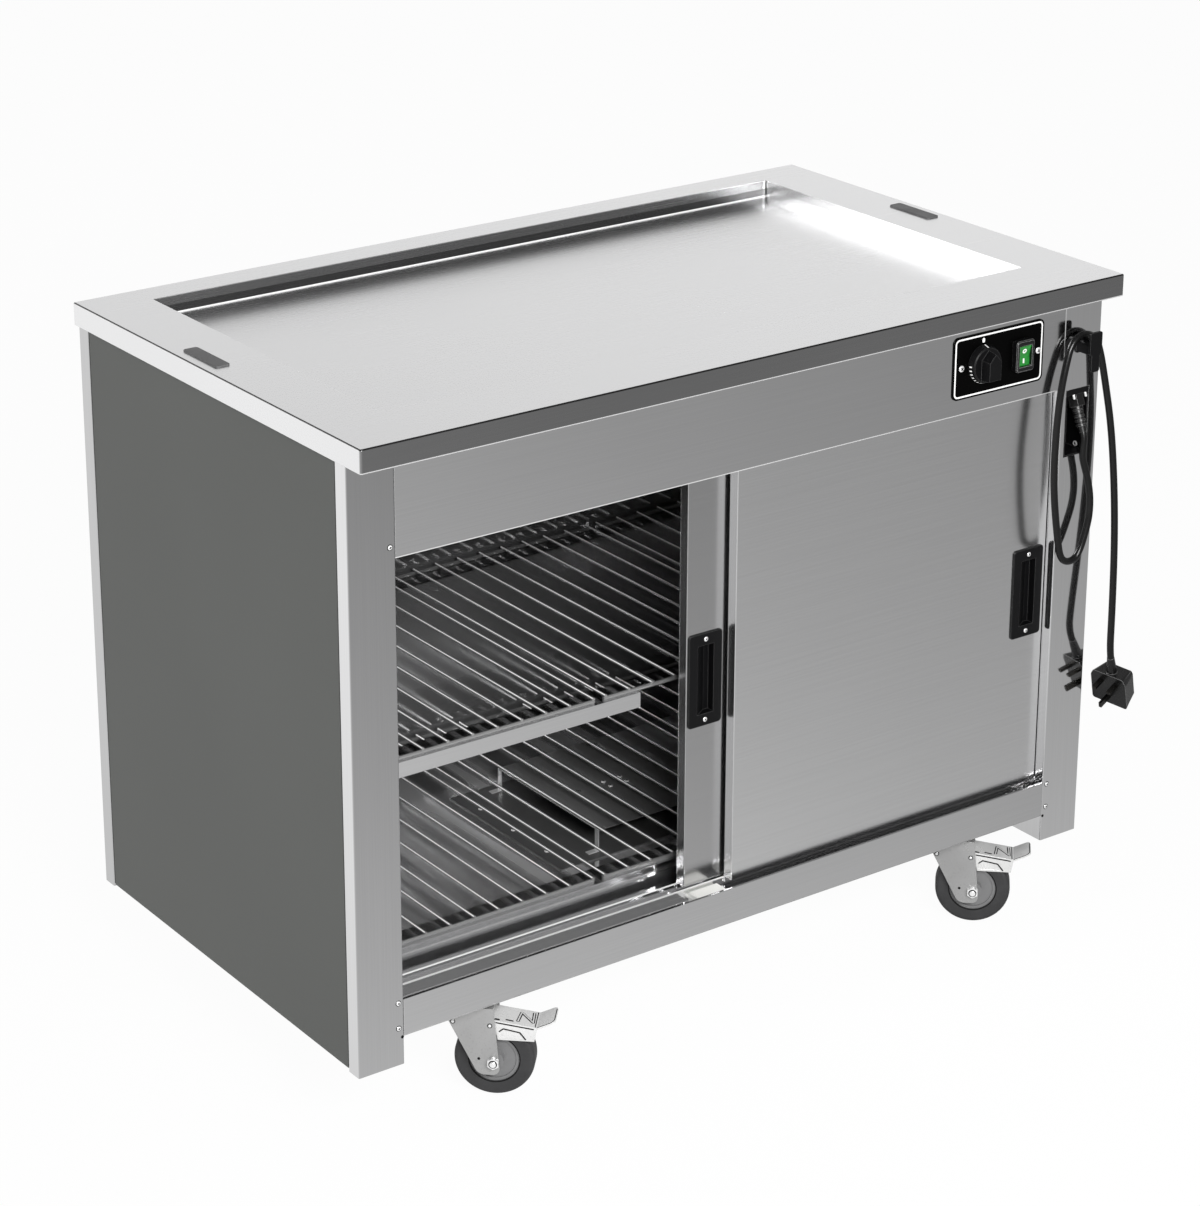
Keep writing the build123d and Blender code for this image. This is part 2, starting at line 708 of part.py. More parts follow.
def door_sill_track():
    """Folded sill: front channel, rib, rear channel and a flat back to the cupboard floor."""
    rib_front, rib_back = sill_rib()
    lip = FACE_BACK + SILL_SHEET
    path = [
        (lip, RAIL_TOP - SHEET),
        (lip, SILL_FLOOR),
        (rib_front, SILL_FLOOR),
        (rib_front, SILL_TOP),
        (rib_back, SILL_TOP),
        (rib_back, SILL_FLOOR),
        (SILL_REAR_WALL, SILL_FLOOR),
        (SILL_REAR_WALL, SILL_TOP),
        (FLOOR_FRONT, SILL_TOP),
        (FLOOR_FRONT, FLOOR_UNDER),
    ]
    section = folded(path, SILL_SHEET, side=Side.RIGHT)
    return lengthwise(section, -LINER_X, LINER_X)


def door_centre_guide():
    """Nylon block in the front channel. The front door's lip runs in the slot behind it."""
    rib_front = sill_rib()[0]
    front = FACE_BACK + SILL_SHEET + GUIDE_FRONT_GAP
    right = GUIDE_LEFT + GUIDE_LENGTH
    block = span(GUIDE_LEFT, right, front, rib_front - GUIDE_SLOT, SILL_FLOOR, GUIDE_TOP)
    block = chamfer(block.faces().sort_by(Axis.Z)[-1].edges(), GUIDE_CHAMFER)
    return block + span(GUIDE_LEFT, right, front, rib_front, SILL_FLOOR, SILL_FLOOR + GUIDE_BASE)


def door_skin(left, face, pull_x):
    """Front tray of a door, cut open for the pocket of its pull."""
    tray = span(left, left + DOOR_WIDTH, face, face + DOOR_TRAY, DOOR_BOTTOM, DOOR_TOP)
    tray = fillet(tray.faces().sort_by(Axis.Y)[0].edges().filter_by(Axis.Z), DOOR_EDGE)
    tray -= span(left + DOOR_SKIN, left + DOOR_WIDTH - DOOR_SKIN, face + DOOR_SKIN, face + DOOR_TRAY,
                 DOOR_BOTTOM + DOOR_SKIN, DOOR_TOP - DOOR_SKIN)
    half = POCKET_HALF_WIDTH + POCKET_WALL + POCKET_GAP
    tall = POCKET_HEIGHT / 2 + POCKET_WALL + POCKET_GAP
    return tray - span(pull_x - half, pull_x + half, face, face + DOOR_SKIN,
                       PULL_HEIGHT_CENTRE - tall, PULL_HEIGHT_CENTRE + tall)


def door_back(left, face):
    """Back sheet of a door, run down past the tray as the guide lip."""
    return span(left, left + DOOR_WIDTH, face + DOOR_TRAY, face + DOOR_THICK,
                DOOR_BOTTOM - DOOR_LIP, DOOR_TOP)


def door_pull(pull_x, face):
    """Flush pull: plate, finger pocket with a sloping left side, and the pocket's walls."""
    plate = RectangleRounded(PULL_WIDTH, PULL_HEIGHT, PULL_CORNER)
    pull = deep(plate, -PULL_PLATE, 0)
    pull = chamfer(pull.faces().sort_by(Axis.Y)[0].edges(), PULL_EDGE)
    shell = outline([
        (-POCKET_HALF_WIDTH - POCKET_WALL, 0),
        (POCKET_HALF_WIDTH + POCKET_WALL, 0),
        (POCKET_HALF_WIDTH + POCKET_WALL, POCKET_DEPTH + POCKET_WALL),
        (POCKET_HALF_WIDTH - POCKET_FLOOR - POCKET_WALL, POCKET_DEPTH + POCKET_WALL),
    ])
    pocket = outline([
        (-POCKET_HALF_WIDTH, -PULL_PLATE),
        (POCKET_HALF_WIDTH, -PULL_PLATE),
        (POCKET_HALF_WIDTH, POCKET_DEPTH),
        (POCKET_HALF_WIDTH - POCKET_FLOOR, POCKET_DEPTH),
    ])
    tall = POCKET_HEIGHT / 2
    pull += upright(shell, -tall - POCKET_WALL, tall + POCKET_WALL)
    pull -= upright(pocket, -tall, tall)
    return Pos(pull_x, face, PULL_HEIGHT_CENTRE) * pull


def door_hangers(left, face):
    """Two T-shaped nylon hangers that stand on the door and slide on the track's lips."""
    middle = face + DOOR_THICK / 2
    head_bottom = TRACK_BOTTOM + TRACK_LIP_SHEET + HANGER_GAP
    hangers = []
    for x in (left + HANGER_INSET, left + DOOR_WIDTH - HANGER_INSET):
        stem_half = HANGER_STEM_LENGTH / 2
        stem = span(x - stem_half, x + stem_half, middle - HANGER_STEM_THICK / 2,
                    middle + HANGER_STEM_THICK / 2, DOOR_TOP, head_bottom)
        head_half = HANGER_HEAD_LENGTH / 2
        head = span(x - head_half, x + head_half, middle - HANGER_HEAD_WIDTH / 2,
                    middle + HANGER_HEAD_WIDTH / 2, head_bottom, head_bottom + HANGER_HEAD_HEIGHT)
        hangers.append(stem + head)
    return Compound(children=hangers)


def bearer_angle(front, top, flange, face, drop_side):
    """Section of an angle: a flange with a face turned down at its front or back edge."""
    edge = front if drop_side < 0 else front + flange
    far = front + flange if drop_side < 0 else front
    path = [(far, top), (edge, top), (edge, top - face)]
    side = Side.LEFT if drop_side < 0 else Side.RIGHT
    return folded(path, BEARER_SHEET, side=side)


def upper_bearers():
    """Two short front angles with returned ends, and one along the back."""
    section = bearer_angle(BEARER_FRONT, UPPER_BEARER_TOP, BEARER_FLANGE, BEARER_FACE, -1)
    left = lengthwise(section, -LINER_X, -UPPER_BEARER_INNER_END)
    left += span(-UPPER_BEARER_INNER_END - BEARER_SHEET, -UPPER_BEARER_INNER_END, BEARER_FRONT,
                 BEARER_FRONT + BEARER_END_RETURN, UPPER_BEARER_TOP - BEARER_FACE, UPPER_BEARER_TOP)
    return Compound(children=[left, other_side(left), back_bearer(UPPER_BEARER_TOP)])


def lower_bearers():
    """A front angle from side to side of the liner, and one along the back."""
    section = bearer_angle(BEARER_FRONT, LOWER_BEARER_TOP, BEARER_FLANGE, LOWER_BEARER_FACE, -1)
    return Compound(children=[lengthwise(section, -LINER_X, LINER_X), back_bearer(LOWER_BEARER_TOP)])


def back_bearer(top):
    """Angle on the back of the liner."""
    front = LINER_BACK - BACK_BEARER_FLANGE
    section = bearer_angle(front, top, BACK_BEARER_FLANGE, BEARER_FACE, 1)
    return lengthwise(section, -LINER_X, LINER_X)


def bar_section(width):
    """Eight-sided section of a wire, flat on top and below."""
    return RegularPolygon(width / 2, 8, major_radius=False, rotation=22.5)


def wire_grid(bearer_top):
    """One welded grid: wires from front to back over a rod at each end."""
    rod_z = bearer_top + ROD / 2
    wire_z = bearer_top + ROD + WIRE / 2 - WELD
    first = (WIRE - GRID_WIDTH) / 2
    step = (GRID_WIDTH - WIRE) / (GRID_WIRES - 1)
    bars = []
    for wire in range(GRID_WIRES):
        place = Pos(first + wire * step, wire_z)
        bars.append(deep(place * bar_section(WIRE), GRID_FRONT, GRID_BACK))
    for y in (GRID_FRONT + ROD_INSET, GRID_BACK - ROD_INSET):
        place = Pos(y, rod_z)
        bars.append(lengthwise(place * bar_section(ROD), -GRID_WIDTH / 2, GRID_WIDTH / 2))
    return bars[0].fuse(*bars[1:])


def grid_row(bearer_top):
    """Three grids side by side."""
    grid = wire_grid(bearer_top)
    return Compound(children=[Pos(column * GRID_PITCH, 0, 0) * grid for column in (-1, 0, 1)])


def heater_base():
    """Plate on the cupboard floor under the heater."""
    return span(HEATER_BASE_LEFT, HEATER_RIGHT, HEATER_FRONT - HEATER_BASE_MARGIN,
                HEATER_BACK + HEATER_BASE_MARGIN, LINER_FLOOR, HEATER_FLOOR)


def heater_cover():
    """Raised cover plate on four strap legs with turned-out feet."""
    cover = span(HEATER_LEFT, HEATER_RIGHT, HEATER_FRONT, HEATER_BACK, HEATER_TOP - HEATER_SHEET, HEATER_TOP)
    for y in (HEATER_FRONT, HEATER_BACK - HEATER_LEG_WIDTH):
        strap = [(HEATER_LEFT + HEATER_SHEET, HEATER_TOP),
                 (HEATER_LEFT + HEATER_SHEET, HEATER_FLOOR),
                 (HEATER_LEFT - HEATER_FOOT, HEATER_FLOOR)]
        cover += deep(folded(strap, HEATER_SHEET, side=Side.RIGHT), y, y + HEATER_LEG_WIDTH)
        cover += span(HEATER_RIGHT - HEATER_SHEET, HEATER_RIGHT, y, y + HEATER_LEG_WIDTH,
                      HEATER_FLOOR, HEATER_TOP)
    return cover


def heater_element():
    """Sheathed element bent to and fro, held by its terminal block."""
    points = []
    for run in range(ELEMENT_RUNS):
        y = ELEMENT_FRONT + run * ELEMENT_PITCH
        outer = run in (0, ELEMENT_RUNS - 1)
        right = TERMINAL_LEFT + TERMINAL_THICK if outer else ELEMENT_INNER_RIGHT
        ends = [(right, y, ELEMENT_HEIGHT), (ELEMENT_LEFT, y, ELEMENT_HEIGHT)]
        points += ends if run % 2 == 0 else ends[::-1]
    path = FilletPolyline(*points, radius=ELEMENT_BEND)
    start = Plane(origin=points[0], z_dir=(-1, 0, 0))
    rod = sweep(start * Circle(ELEMENT_ROD / 2), path=path)
    last = ELEMENT_FRONT + (ELEMENT_RUNS - 1) * ELEMENT_PITCH
    return rod + span(TERMINAL_LEFT, TERMINAL_LEFT + TERMINAL_THICK, ELEMENT_FRONT - TERMINAL_MARGIN,
                      last + TERMINAL_MARGIN, HEATER_FLOOR, TERMINAL_TOP)


def control_plate():
    """Black plate on the fascia."""
    plate = Pos(PLATE_X, PLATE_Z) * RectangleRounded(PLATE_WIDTH, PLATE_HEIGHT, PLATE_CORNER)
    return deep(plate, PLATE_FRONT, BODY_FRONT) - control_holes(PLATE_FRONT, BODY_FRONT)


def thermostat():
    """Thermostat behind the fascia, bored for its spindle."""
    half = THERMOSTAT_SIZE / 2
    body = span(KNOB_X - half, KNOB_X + half, FACE_BACK, FACE_BACK + THERMOSTAT_DEPTH,
                PLATE_Z - half, PLATE_Z + half)
    return body - deep(Pos(KNOB_X, PLATE_Z) * Circle(SPINDLE / 2 + SPINDLE_GAP),
                       FACE_BACK, FACE_BACK + SPINDLE_LENGTH)


def thermostat_knob():
    """Knob with a tapered skirt and a pointed grip, on its spindle."""
    back = PLATE_FRONT - KNOB_GAP
    skirt_front = back - KNOB_SKIRT
    place = Pos(KNOB_X, PLATE_Z)
    skirt = Rot(90, 0, 0) * Cone(KNOB_RADIUS, KNOB_FACE_RADIUS, KNOB_SKIRT)
    knob = Pos(KNOB_X, back - KNOB_SKIRT / 2, PLATE_Z) * skirt
    knob = chamfer(knob.faces().sort_by(Axis.Y)[0].edges(), KNOB_EDGE)
    grip = outline([
        (-GRIP_HALF_WIDTH, -GRIP_TAIL),
        (GRIP_HALF_WIDTH, -GRIP_TAIL),
        (GRIP_HALF_WIDTH, GRIP_SHOULDER),
        (0, GRIP_POINT),
        (-GRIP_HALF_WIDTH, GRIP_SHOULDER),
    ])
    root = Pos(0, skirt_front, 0) * (Plane.XZ * (place * grip))
    knob += extrude(root, GRIP_HEIGHT, dir=(0, -1, 0), taper=GRIP_TAPER)
    knob += deep(place * Circle(SPINDLE / 2), back, FACE_BACK + SPINDLE_LENGTH - KNOB_GAP)
    return knob


def switch_housing():
    """Bezel on the plate with the switch body behind it, hollowed for the rocker."""
    place = Pos(SWITCH_X, PLATE_Z)
    front = PLATE_FRONT - BEZEL_DEPTH
    bezel = deep(place * RectangleRounded(BEZEL_WIDTH, BEZEL_HEIGHT, BEZEL_CORNER), front, PLATE_FRONT)
    bezel = chamfer(bezel.faces().sort_by(Axis.Y)[0].edges(), BEZEL_EDGE)
    body = Rectangle(SWITCH_BODY_WIDTH, SWITCH_BODY_HEIGHT)
    bezel += deep(place * body, PLATE_FRONT, PLATE_FRONT + SWITCH_BODY_DEPTH)
    well = Rectangle(ROCKER_WIDTH + 2 * ROCKER_GAP, ROCKER_HEIGHT + 2 * ROCKER_GAP)
    return bezel - deep(place * well, front, PLATE_FRONT + ROCKER_WELL_DEPTH - PLATE_THICK)


def rocker():
    """Dished rocker, at rest with its lower end pressed in."""
    half = ROCKER_HEIGHT / 2
    back = outline([
        (0, -half),
        (ROCKER_DISH, 0),
        (0, half),
        (ROCKER_THICK, half),
        (ROCKER_THICK + ROCKER_DISH, 0),
        (ROCKER_THICK, -half),
    ])
    paddle = lengthwise(back, -ROCKER_WIDTH / 2, ROCKER_WIDTH / 2)
    pivot_y = PLATE_FRONT - ROCKER_PIVOT_DEPTH
    centred = Pos(0, -ROCKER_DISH - ROCKER_THICK / 2, 0) * paddle
    return Pos(SWITCH_X, pivot_y, PLATE_Z) * Rot(ROCKER_TILT, 0, 0) * centred


def cord_entry_box():
    """Black box let into the post, with a sloping seat for the gland in its top."""
    half_x = RECESS_WIDTH / 2 - RECESS_GAP
    half_z = RECESS_HEIGHT / 2 - RECESS_GAP
    back = BODY_FRONT + RECESS_DEPTH
    box = span(RECESS_X - half_x, RECESS_X + half_x, BODY_FRONT, back, RECESS_Z - half_z, RECESS_Z + half_z)
    wall = RECESS_WALL
    roof = RECESS_Z + half_z - wall
    box -= span(RECESS_X - half_x + wall, RECESS_X + half_x - wall, BODY_FRONT, back - wall,
                RECESS_Z - half_z + wall, roof)
    slope = tan(radians(GLAND_LEAN))
    seat = outline([
        (BODY_FRONT, roof),
        (back - wall, roof),
        (back - wall, GLAND_Z - (back - wall - GLAND_Y) * slope),
        (BODY_FRONT, GLAND_Z + GLAND_SETBACK * slope),
    ])
    return box + lengthwise(seat, RECESS_X - half_x + wall, RECESS_X + half_x - wall)


def cord_gland():
    """Gland nut and collar with a ribbed, tapered boot, leaning down and out of the recess."""
    nut = extrude(RegularPolygon(GLAND_NUT_RADIUS, 6), GLAND_NUT)
    collar_end = GLAND_NUT + GLAND_COLLAR
    gland = nut + Pos(0, 0, GLAND_NUT + GLAND_COLLAR / 2) * Cylinder(GLAND_COLLAR_RADIUS, GLAND_COLLAR)
    gland += Pos(0, 0, collar_end + BOOT_LENGTH / 2) * Cone(BOOT_TOP_RADIUS, BOOT_TIP_RADIUS, BOOT_LENGTH)
    pitch = BOOT_LENGTH / (BOOT_RIBS + 1)
    for rib in range(BOOT_RIBS):
        gland += Pos(0, 0, collar_end + (rib + 0.5) * pitch) * Cylinder(BOOT_RIB_RADIUS, BOOT_RIB)
    along = Vector(*boot_axis(1)) - Vector(*boot_axis(0))
    seat = Plane(origin=boot_axis(0), x_dir=(1, 0, 0), z_dir=along)
    return seat * gland


def cord_hook():
    """Moulded hook: base on the post, round-topped arm, and a T-shaped front lip."""
    base_back = BODY_FRONT
    base_front = BODY_FRONT - HOOK_BASE_THICK
    lip_back = BODY_FRONT - HOOK_REACH
    base_z = HOOK_ARM_TOP - HOOK_ARM_HEIGHT / 2
    base = Pos(HOOK_X, base_z) * RectangleRounded(HOOK_BASE_WIDTH, HOOK_BASE_HEIGHT, HOOK_CORNER)
    hook = deep(base, base_front, base_back)
    crown_z = HOOK_ARM_TOP - HOOK_ARM_WIDTH / 2
    foot_z = HOOK_ARM_TOP - HOOK_ARM_HEIGHT
    arm = Pos(HOOK_X, crown_z) * Circle(HOOK_ARM_WIDTH / 2)
    arm += Pos(HOOK_X, (crown_z + foot_z) / 2) * Rectangle(HOOK_ARM_WIDTH, crown_z - foot_z)
    hook += deep(arm, lip_back, base_front)
    upper = (HOOK_LIP_TOP + HOOK_LIP_SHOULDER) / 2
    lip = Pos(HOOK_X, upper) * RectangleRounded(HOOK_LIP_WIDTH, HOOK_LIP_TOP - HOOK_LIP_SHOULDER, HOOK_CORNER)
    lobe_top = HOOK_LIP_SHOULDER + 2 * HOOK_CORNER
    lobe = RectangleRounded(HOOK_LOBE_WIDTH, lobe_top - HOOK_LIP_BOTTOM, HOOK_CORNER)
    lip += Pos(HOOK_X, (lobe_top + HOOK_LIP_BOTTOM) / 2) * lobe
    return hook + deep(lip, lip_back - HOOK_LIP_THICK, lip_back)


def boot_axis(reach):
    """Point on the gland's axis at the given reach from its seat."""
    lean = radians(GLAND_LEAN)
    return (GLAND_X, GLAND_Y - reach * sin(lean), GLAND_Z - reach * cos(lean))


def cord_route():
    """The lead's points: straight out of the boot, then hanging from the hook."""
    tip = GLAND_NUT + GLAND_COLLAR + BOOT_LENGTH
    out = [boot_axis(tip + CORD_GAP), boot_axis(tip + CORD_LEAD_OUT)]
    return out + [(BODY_WIDTH / 2 + x, BODY_FRONT + y, BODY_TOP + z) for x, y, z in CORD_HANG]


def cord_radii(route):
    """Bend radius at each inner point of the route, as large as its two runs allow."""
    radii = []
    for before, point, after in zip(route, route[1:], route[2:]):
        run_in = Vector(*point) - Vector(*before)
        run_out = Vector(*after) - Vector(*point)
        half_turn = radians(run_in.get_angle(run_out)) / 2
        radii.append(CORD_BEND_SHARE * min(run_in.length, run_out.length) / tan(half_turn))
    return radii


def mains_lead():
    """Round cord along the route."""
    route = cord_route()
    radii = cord_radii(route)
    path = FilletPolyline(*route, radius=radii)
    start = Plane(origin=route[0], z_dir=path % 0)
    lead = sweep(start * Circle(CORD / 2), path=path)
    print("cord radii", [round(radius) for radius in radii])
    ratio = lead.volume / (Circle(CORD / 2).area * path.length)
    print("cord length", round(path.length, 1), "volume over section times length", round(ratio, 4))
    return lead


def plug_frame():
    """Plane at the end of the cord: z runs on along the cord, x is the way the pins point."""
    before, last = cord_route()[-2:]
    end = Vector(*last)
    along = (end - Vector(*before)).normalized()
    aim = Vector(*PIN_AIM)
    pins = aim - along * aim.dot(along)
    return Plane(origin=end, x_dir=pins, z_dir=along)


def mains_plug():
    """Plug body, wide at the pins and narrow at the cord, with a tapered sleeve."""
    half = PLUG_WIDTH / 2
    neck = PLUG_NECK_WIDTH / 2
    z0 = PLUG_SLEEVE
    shape = outline([
        (-neck, z0),
        (neck, z0),
        (half, z0 + PLUG_SHOULDER),
        (half, z0 + PLUG_LENGTH),
        (-half, z0 + PLUG_LENGTH),
        (-half, z0 + PLUG_SHOULDER),
    ])
    shape = shape.fillet_2d(PLUG_CORNER, shape.vertices())
    body = extrude(Pos(PLUG_FACE, 0, 0) * (Plane.YZ * shape), PLUG_DEPTH, dir=(-1, 0, 0), taper=PLUG_DRAFT)
    sleeve = Pos(0, 0, PLUG_SLEEVE / 2) * Cone(PLUG_SLEEVE_TIP_RADIUS, PLUG_SLEEVE_ROOT_RADIUS, PLUG_SLEEVE)
    root = Pos(0, 0, PLUG_SLEEVE + PLUG_CORNER / 2) * Cylinder(PLUG_SLEEVE_ROOT_RADIUS, PLUG_CORNER)
    return plug_frame() * (body + sleeve + root)


def plug_pins():
    """Line, neutral and earth pins standing on the plug's face."""
    row = PLUG_SLEEVE + PIN_ROW
    places = [(LINE_PIN, -PIN_SPREAD / 2, row), (LINE_PIN, PIN_SPREAD / 2, row),
              (EARTH_PIN, 0, row + PIN_EARTH_STEP)]
    pins = []
    for (length, width, height), y, z in places:
        pins.append(plug_frame() * Pos(PLUG_FACE + length / 2, y, z) * Box(length, width, height))
    return Compound(children=pins)


def castor_places():
    """Name, x and y of each castor's swivel axis."""
    return [
        ("front_left", -CASTOR_X, CASTOR_FRONT_Y),
        ("front_right", CASTOR_X, CASTOR_FRONT_Y),
        ("rear_left", -CASTOR_X, CASTOR_BACK_Y),
        ("rear_right", CASTOR_X, CASTOR_BACK_Y),
    ]


def castor_plate():
    """Top plate with its fixed race, king pin and bolt holes."""
    top = BASE_BOTTOM
    under = top - CASTOR_PLATE_THICK
    plate = RectangleRounded(CASTOR_PLATE_WIDTH, CASTOR_PLATE_DEPTH, CASTOR_PLATE_CORNER)
    plate -= GridLocations(CASTOR_BOLT_X, CASTOR_BOLT_Y, 2, 2) * Circle(CASTOR_BOLT_HOLE / 2)
    piece = upright(plate, under, top)
    piece += upright(Circle(RACE_RADIUS), under - RACE_HEIGHT, under)
    head_top = LEG_TOP - RACE_GAP
    piece += upright(Circle(KING_PIN / 2), head_top, under - RACE_HEIGHT)
    return piece + upright(Circle(KING_HEAD_RADIUS), head_top - KING_HEAD, head_top)


def castor_fork(braked):
    """Pressed fork: crown round the king pin, two legs, and the axle bolt through them."""
    leg = outline([(LEG_BACK, LEG_TOP), (LEG_HEEL, LEG_FOOT), (LEG_TOE, LEG_FOOT), (LEG_FRONT, LEG_TOP)])
    low = leg.vertices().sort_by(Axis.Y)[:2].sort_by(Axis.X)
    leg = leg.fillet_2d(LEG_HEEL_RADIUS, [low[0]])
    low = leg.vertices().sort_by(Axis.X)[-1:]
    leg = leg.fillet_2d(LEG_TOE_RADIUS, low)
    if braked:
        leg -= Pos(PEDAL_PIVOT_U, PEDAL_PIVOT_Z) * Circle(PEDAL_PIN / 2 + PEDAL_PIN_GAP)
    bridge = span(LEG_BACK, LEG_FRONT, -LEG_OUTER, LEG_OUTER, LEG_TOP, CROWN_BOTTOM)
    fork = bridge + upright(Circle(CROWN_RADIUS), LEG_TOP, CROWN_TOP)
    fork -= upright(Circle(KING_PIN / 2 + KING_GAP), LEG_TOP, CROWN_TOP)
    for inner in (-LEG_OUTER, LEG_INNER):
        fork += deep(leg, inner, inner + LEG_THICK)
    fork += across(AXLE / 2, 2 * LEG_OUTER, TRAIL, 0, WHEEL_Z)
    nut = Pos(TRAIL, WHEEL_Z) * RegularPolygon(AXLE_NUT_RADIUS, 6)
    fork += deep(nut, -LEG_OUTER - AXLE_NUT, -LEG_OUTER)
    return fork + deep(nut, LEG_OUTER, LEG_OUTER + AXLE_NUT)


def castor_hub():
    """Dished wheel centre, bored for the axle."""
    hub = Cylinder(HUB / 2, HUB_WIDTH)
    dish = Circle(HUB / 2 - HUB_RIM) - Circle(HUB_BOSS_RADIUS)
    hub -= upright(dish, HUB_WIDTH / 2 - HUB_DISH, HUB_WIDTH / 2)
    hub -= upright(dish, -HUB_WIDTH / 2, HUB_DISH - HUB_WIDTH / 2)
    hub += Cylinder(HUB_BOSS_RADIUS, HUB_BOSS_WIDTH)
    hub -= Cylinder(AXLE / 2 + AXLE_GAP, HUB_BOSS_WIDTH)
    return Pos(TRAIL, 0, WHEEL_Z) * Rot(90, 0, 0) * hub


def castor_tyre():
    """Round-shouldered tyre on the hub."""
    tyre = Cylinder(WHEEL / 2, TYRE_WIDTH)
    tyre = fillet(tyre.edges(), TYRE_SHOULDER)
    tyre -= Cylinder(HUB / 2 + TYRE_GAP, TYRE_WIDTH)
    return Pos(TRAIL, 0, WHEEL_Z) * Rot(90, 0, 0) * tyre


def castor_pedal():
    """Brake pedal: tread, upturned toe tab, two arched cheeks and their pivot pins."""
    tread = [(PEDAL_NOSE_U, PEDAL_NOSE_Z), (PEDAL_HEEL_U, PEDAL_HEEL_Z), (PEDAL_TAB_U, PEDAL_TAB_Z)]
    pedal = deep(folded(tread, PEDAL_SHEET, side=Side.RIGHT), -PEDAL_HALF_WIDTH, PEDAL_HALF_WIDTH)
    tip = pedal.faces().sort_by(Axis.X)[-1]
    pedal = fillet(tip.edges().filter_by(Axis.Y, reverse=True), PEDAL_TAB_CORNER)
    cheek = outline([
        (PEDAL_NOSE_U, PEDAL_NOSE_Z - PEDAL_SHEET),
        (PEDAL_NOSE_U, PEDAL_PIVOT_Z - PEDAL_PIN),
        (PEDAL_PIVOT_U + PEDAL_PIN, PEDAL_PIVOT_Z - PEDAL_PIN),
        (PEDAL_CHEEK_BACK, PEDAL_CHEEK_FOOT),
        (PEDAL_CHEEK_FRONT, PEDAL_CHEEK_FOOT),
        (PEDAL_HEEL_U, PEDAL_HEEL_Z - PEDAL_SHEET),
    ])
    for side in (-1, 1):
        inner = side * (PEDAL_HALF_WIDTH - PEDAL_SHEET)
        outer = side * PEDAL_HALF_WIDTH
        pedal += deep(cheek, min(inner, outer), max(inner, outer))
        pressed = outer - side * PEDAL_PRESS_DEPTH
        pedal -= deep(outline(PEDAL_PRESSED), min(pressed, outer), max(pressed, outer))
        pin_middle = side * (PEDAL_HALF_WIDTH - PEDAL_SHEET + LEG_OUTER) / 2
        pin_length = LEG_OUTER - PEDAL_HALF_WIDTH + PEDAL_SHEET
        pedal += across(PEDAL_PIN / 2, pin_length, PEDAL_PIVOT_U, pin_middle, PEDAL_PIVOT_Z)
    return pedal


def all_parts():
    """Every piece by name."""
    left_pull = LEFT_DOOR_EDGE + LEFT_PULL_INSET + PULL_WIDTH / 2
    right_pull = RIGHT_DOOR_EDGE + DOOR_WIDTH - RIGHT_PULL_INSET - PULL_WIDTH / 2
    parts = {
        "worktop": worktop(),
        "well_pan": well_pan(),
        "gantry_socket_caps": gantry_socket_caps(),
        "front_post_left": front_post(),
        "front_post_right": front_post_right(),
        "rear_post_left": rear_post(),
        "rear_post_right": other_side(rear_post()),
        "side_panel_left": side_panel(),
        "side_panel_right": other_side(side_panel()),
        "rear_panel": rear_panel(),
        "fascia": fascia(),
        "bottom_rail": bottom_rail(),
        "base_pan": base_pan(),
        "cupboard_liner": cupboard_liner(),
        "cupboard_ceiling": cupboard_ceiling(),
        "floor_pan": floor_pan(),
        "door_top_track": door_top_track(),
        "door_sill_track": door_sill_track(),
        "door_centre_guide": door_centre_guide(),
        "upper_bearers": upper_bearers(),
        "lower_bearers": lower_bearers(),
        "upper_grids": grid_row(UPPER_BEARER_TOP),
        "lower_grids": grid_row(LOWER_BEARER_TOP),
        "heater_base": heater_base(),
        "heater_cover": heater_cover(),
        "heater_element": heater_element(),
        "control_plate": control_plate(),
        "thermostat": thermostat(),
        "thermostat_knob": thermostat_knob(),
        "switch_housing": switch_housing(),
        "switch_rocker": rocker(),
        "cord_entry_box": cord_entry_box(),
        "cord_gland": cord_gland(),
        "cord_hook": cord_hook(),
        "mains_lead": mains_lead(),
        "mains_plug": mains_plug(),
        "plug_pins": plug_pins(),
        "castor_plates": Compound(children=[Pos(x, y, 0) * castor_plate() for _, x, y in castor_places()]),
    }
    doors = [
        ("left_door", LEFT_DOOR_EDGE, REAR_DOOR_FACE, left_pull),
        ("right_door", RIGHT_DOOR_EDGE, FRONT_DOOR_FACE, right_pull),
    ]
    for name, left, face, pull_x in doors:
        parts[name + "_skin"] = door_skin(left, face, pull_x)
        parts[name + "_back"] = door_back(left, face)
        parts[name + "_pull"] = door_pull(pull_x, face)
        parts[name + "_hangers"] = door_hangers(left, face)
    for name, x, y in castor_places():
        place = Pos(x, y, 0) * Rot(0, 0, -CASTOR_TURN)
        braked = y == CASTOR_FRONT_Y
        parts["castor_fork_" + name] = place * castor_fork(braked)
        parts["castor_hub_" + name] = place * castor_hub()
        parts["castor_tyre_" + name] = place * castor_tyre()
        if braked:
            parts["castor_pedal_" + name] = place * castor_pedal()
    return parts


os.makedirs("parts", exist_ok=True)
for node, shape in all_parts().items():
    export_step(shape, "parts/" + node + ".step")
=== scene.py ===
from math import atan2, cos, pi, radians, sin, tau

import bmesh
import bpy
from bpy.props import FloatProperty, FloatVectorProperty, PointerProperty
from mathutils import Euler, Matrix, Vector


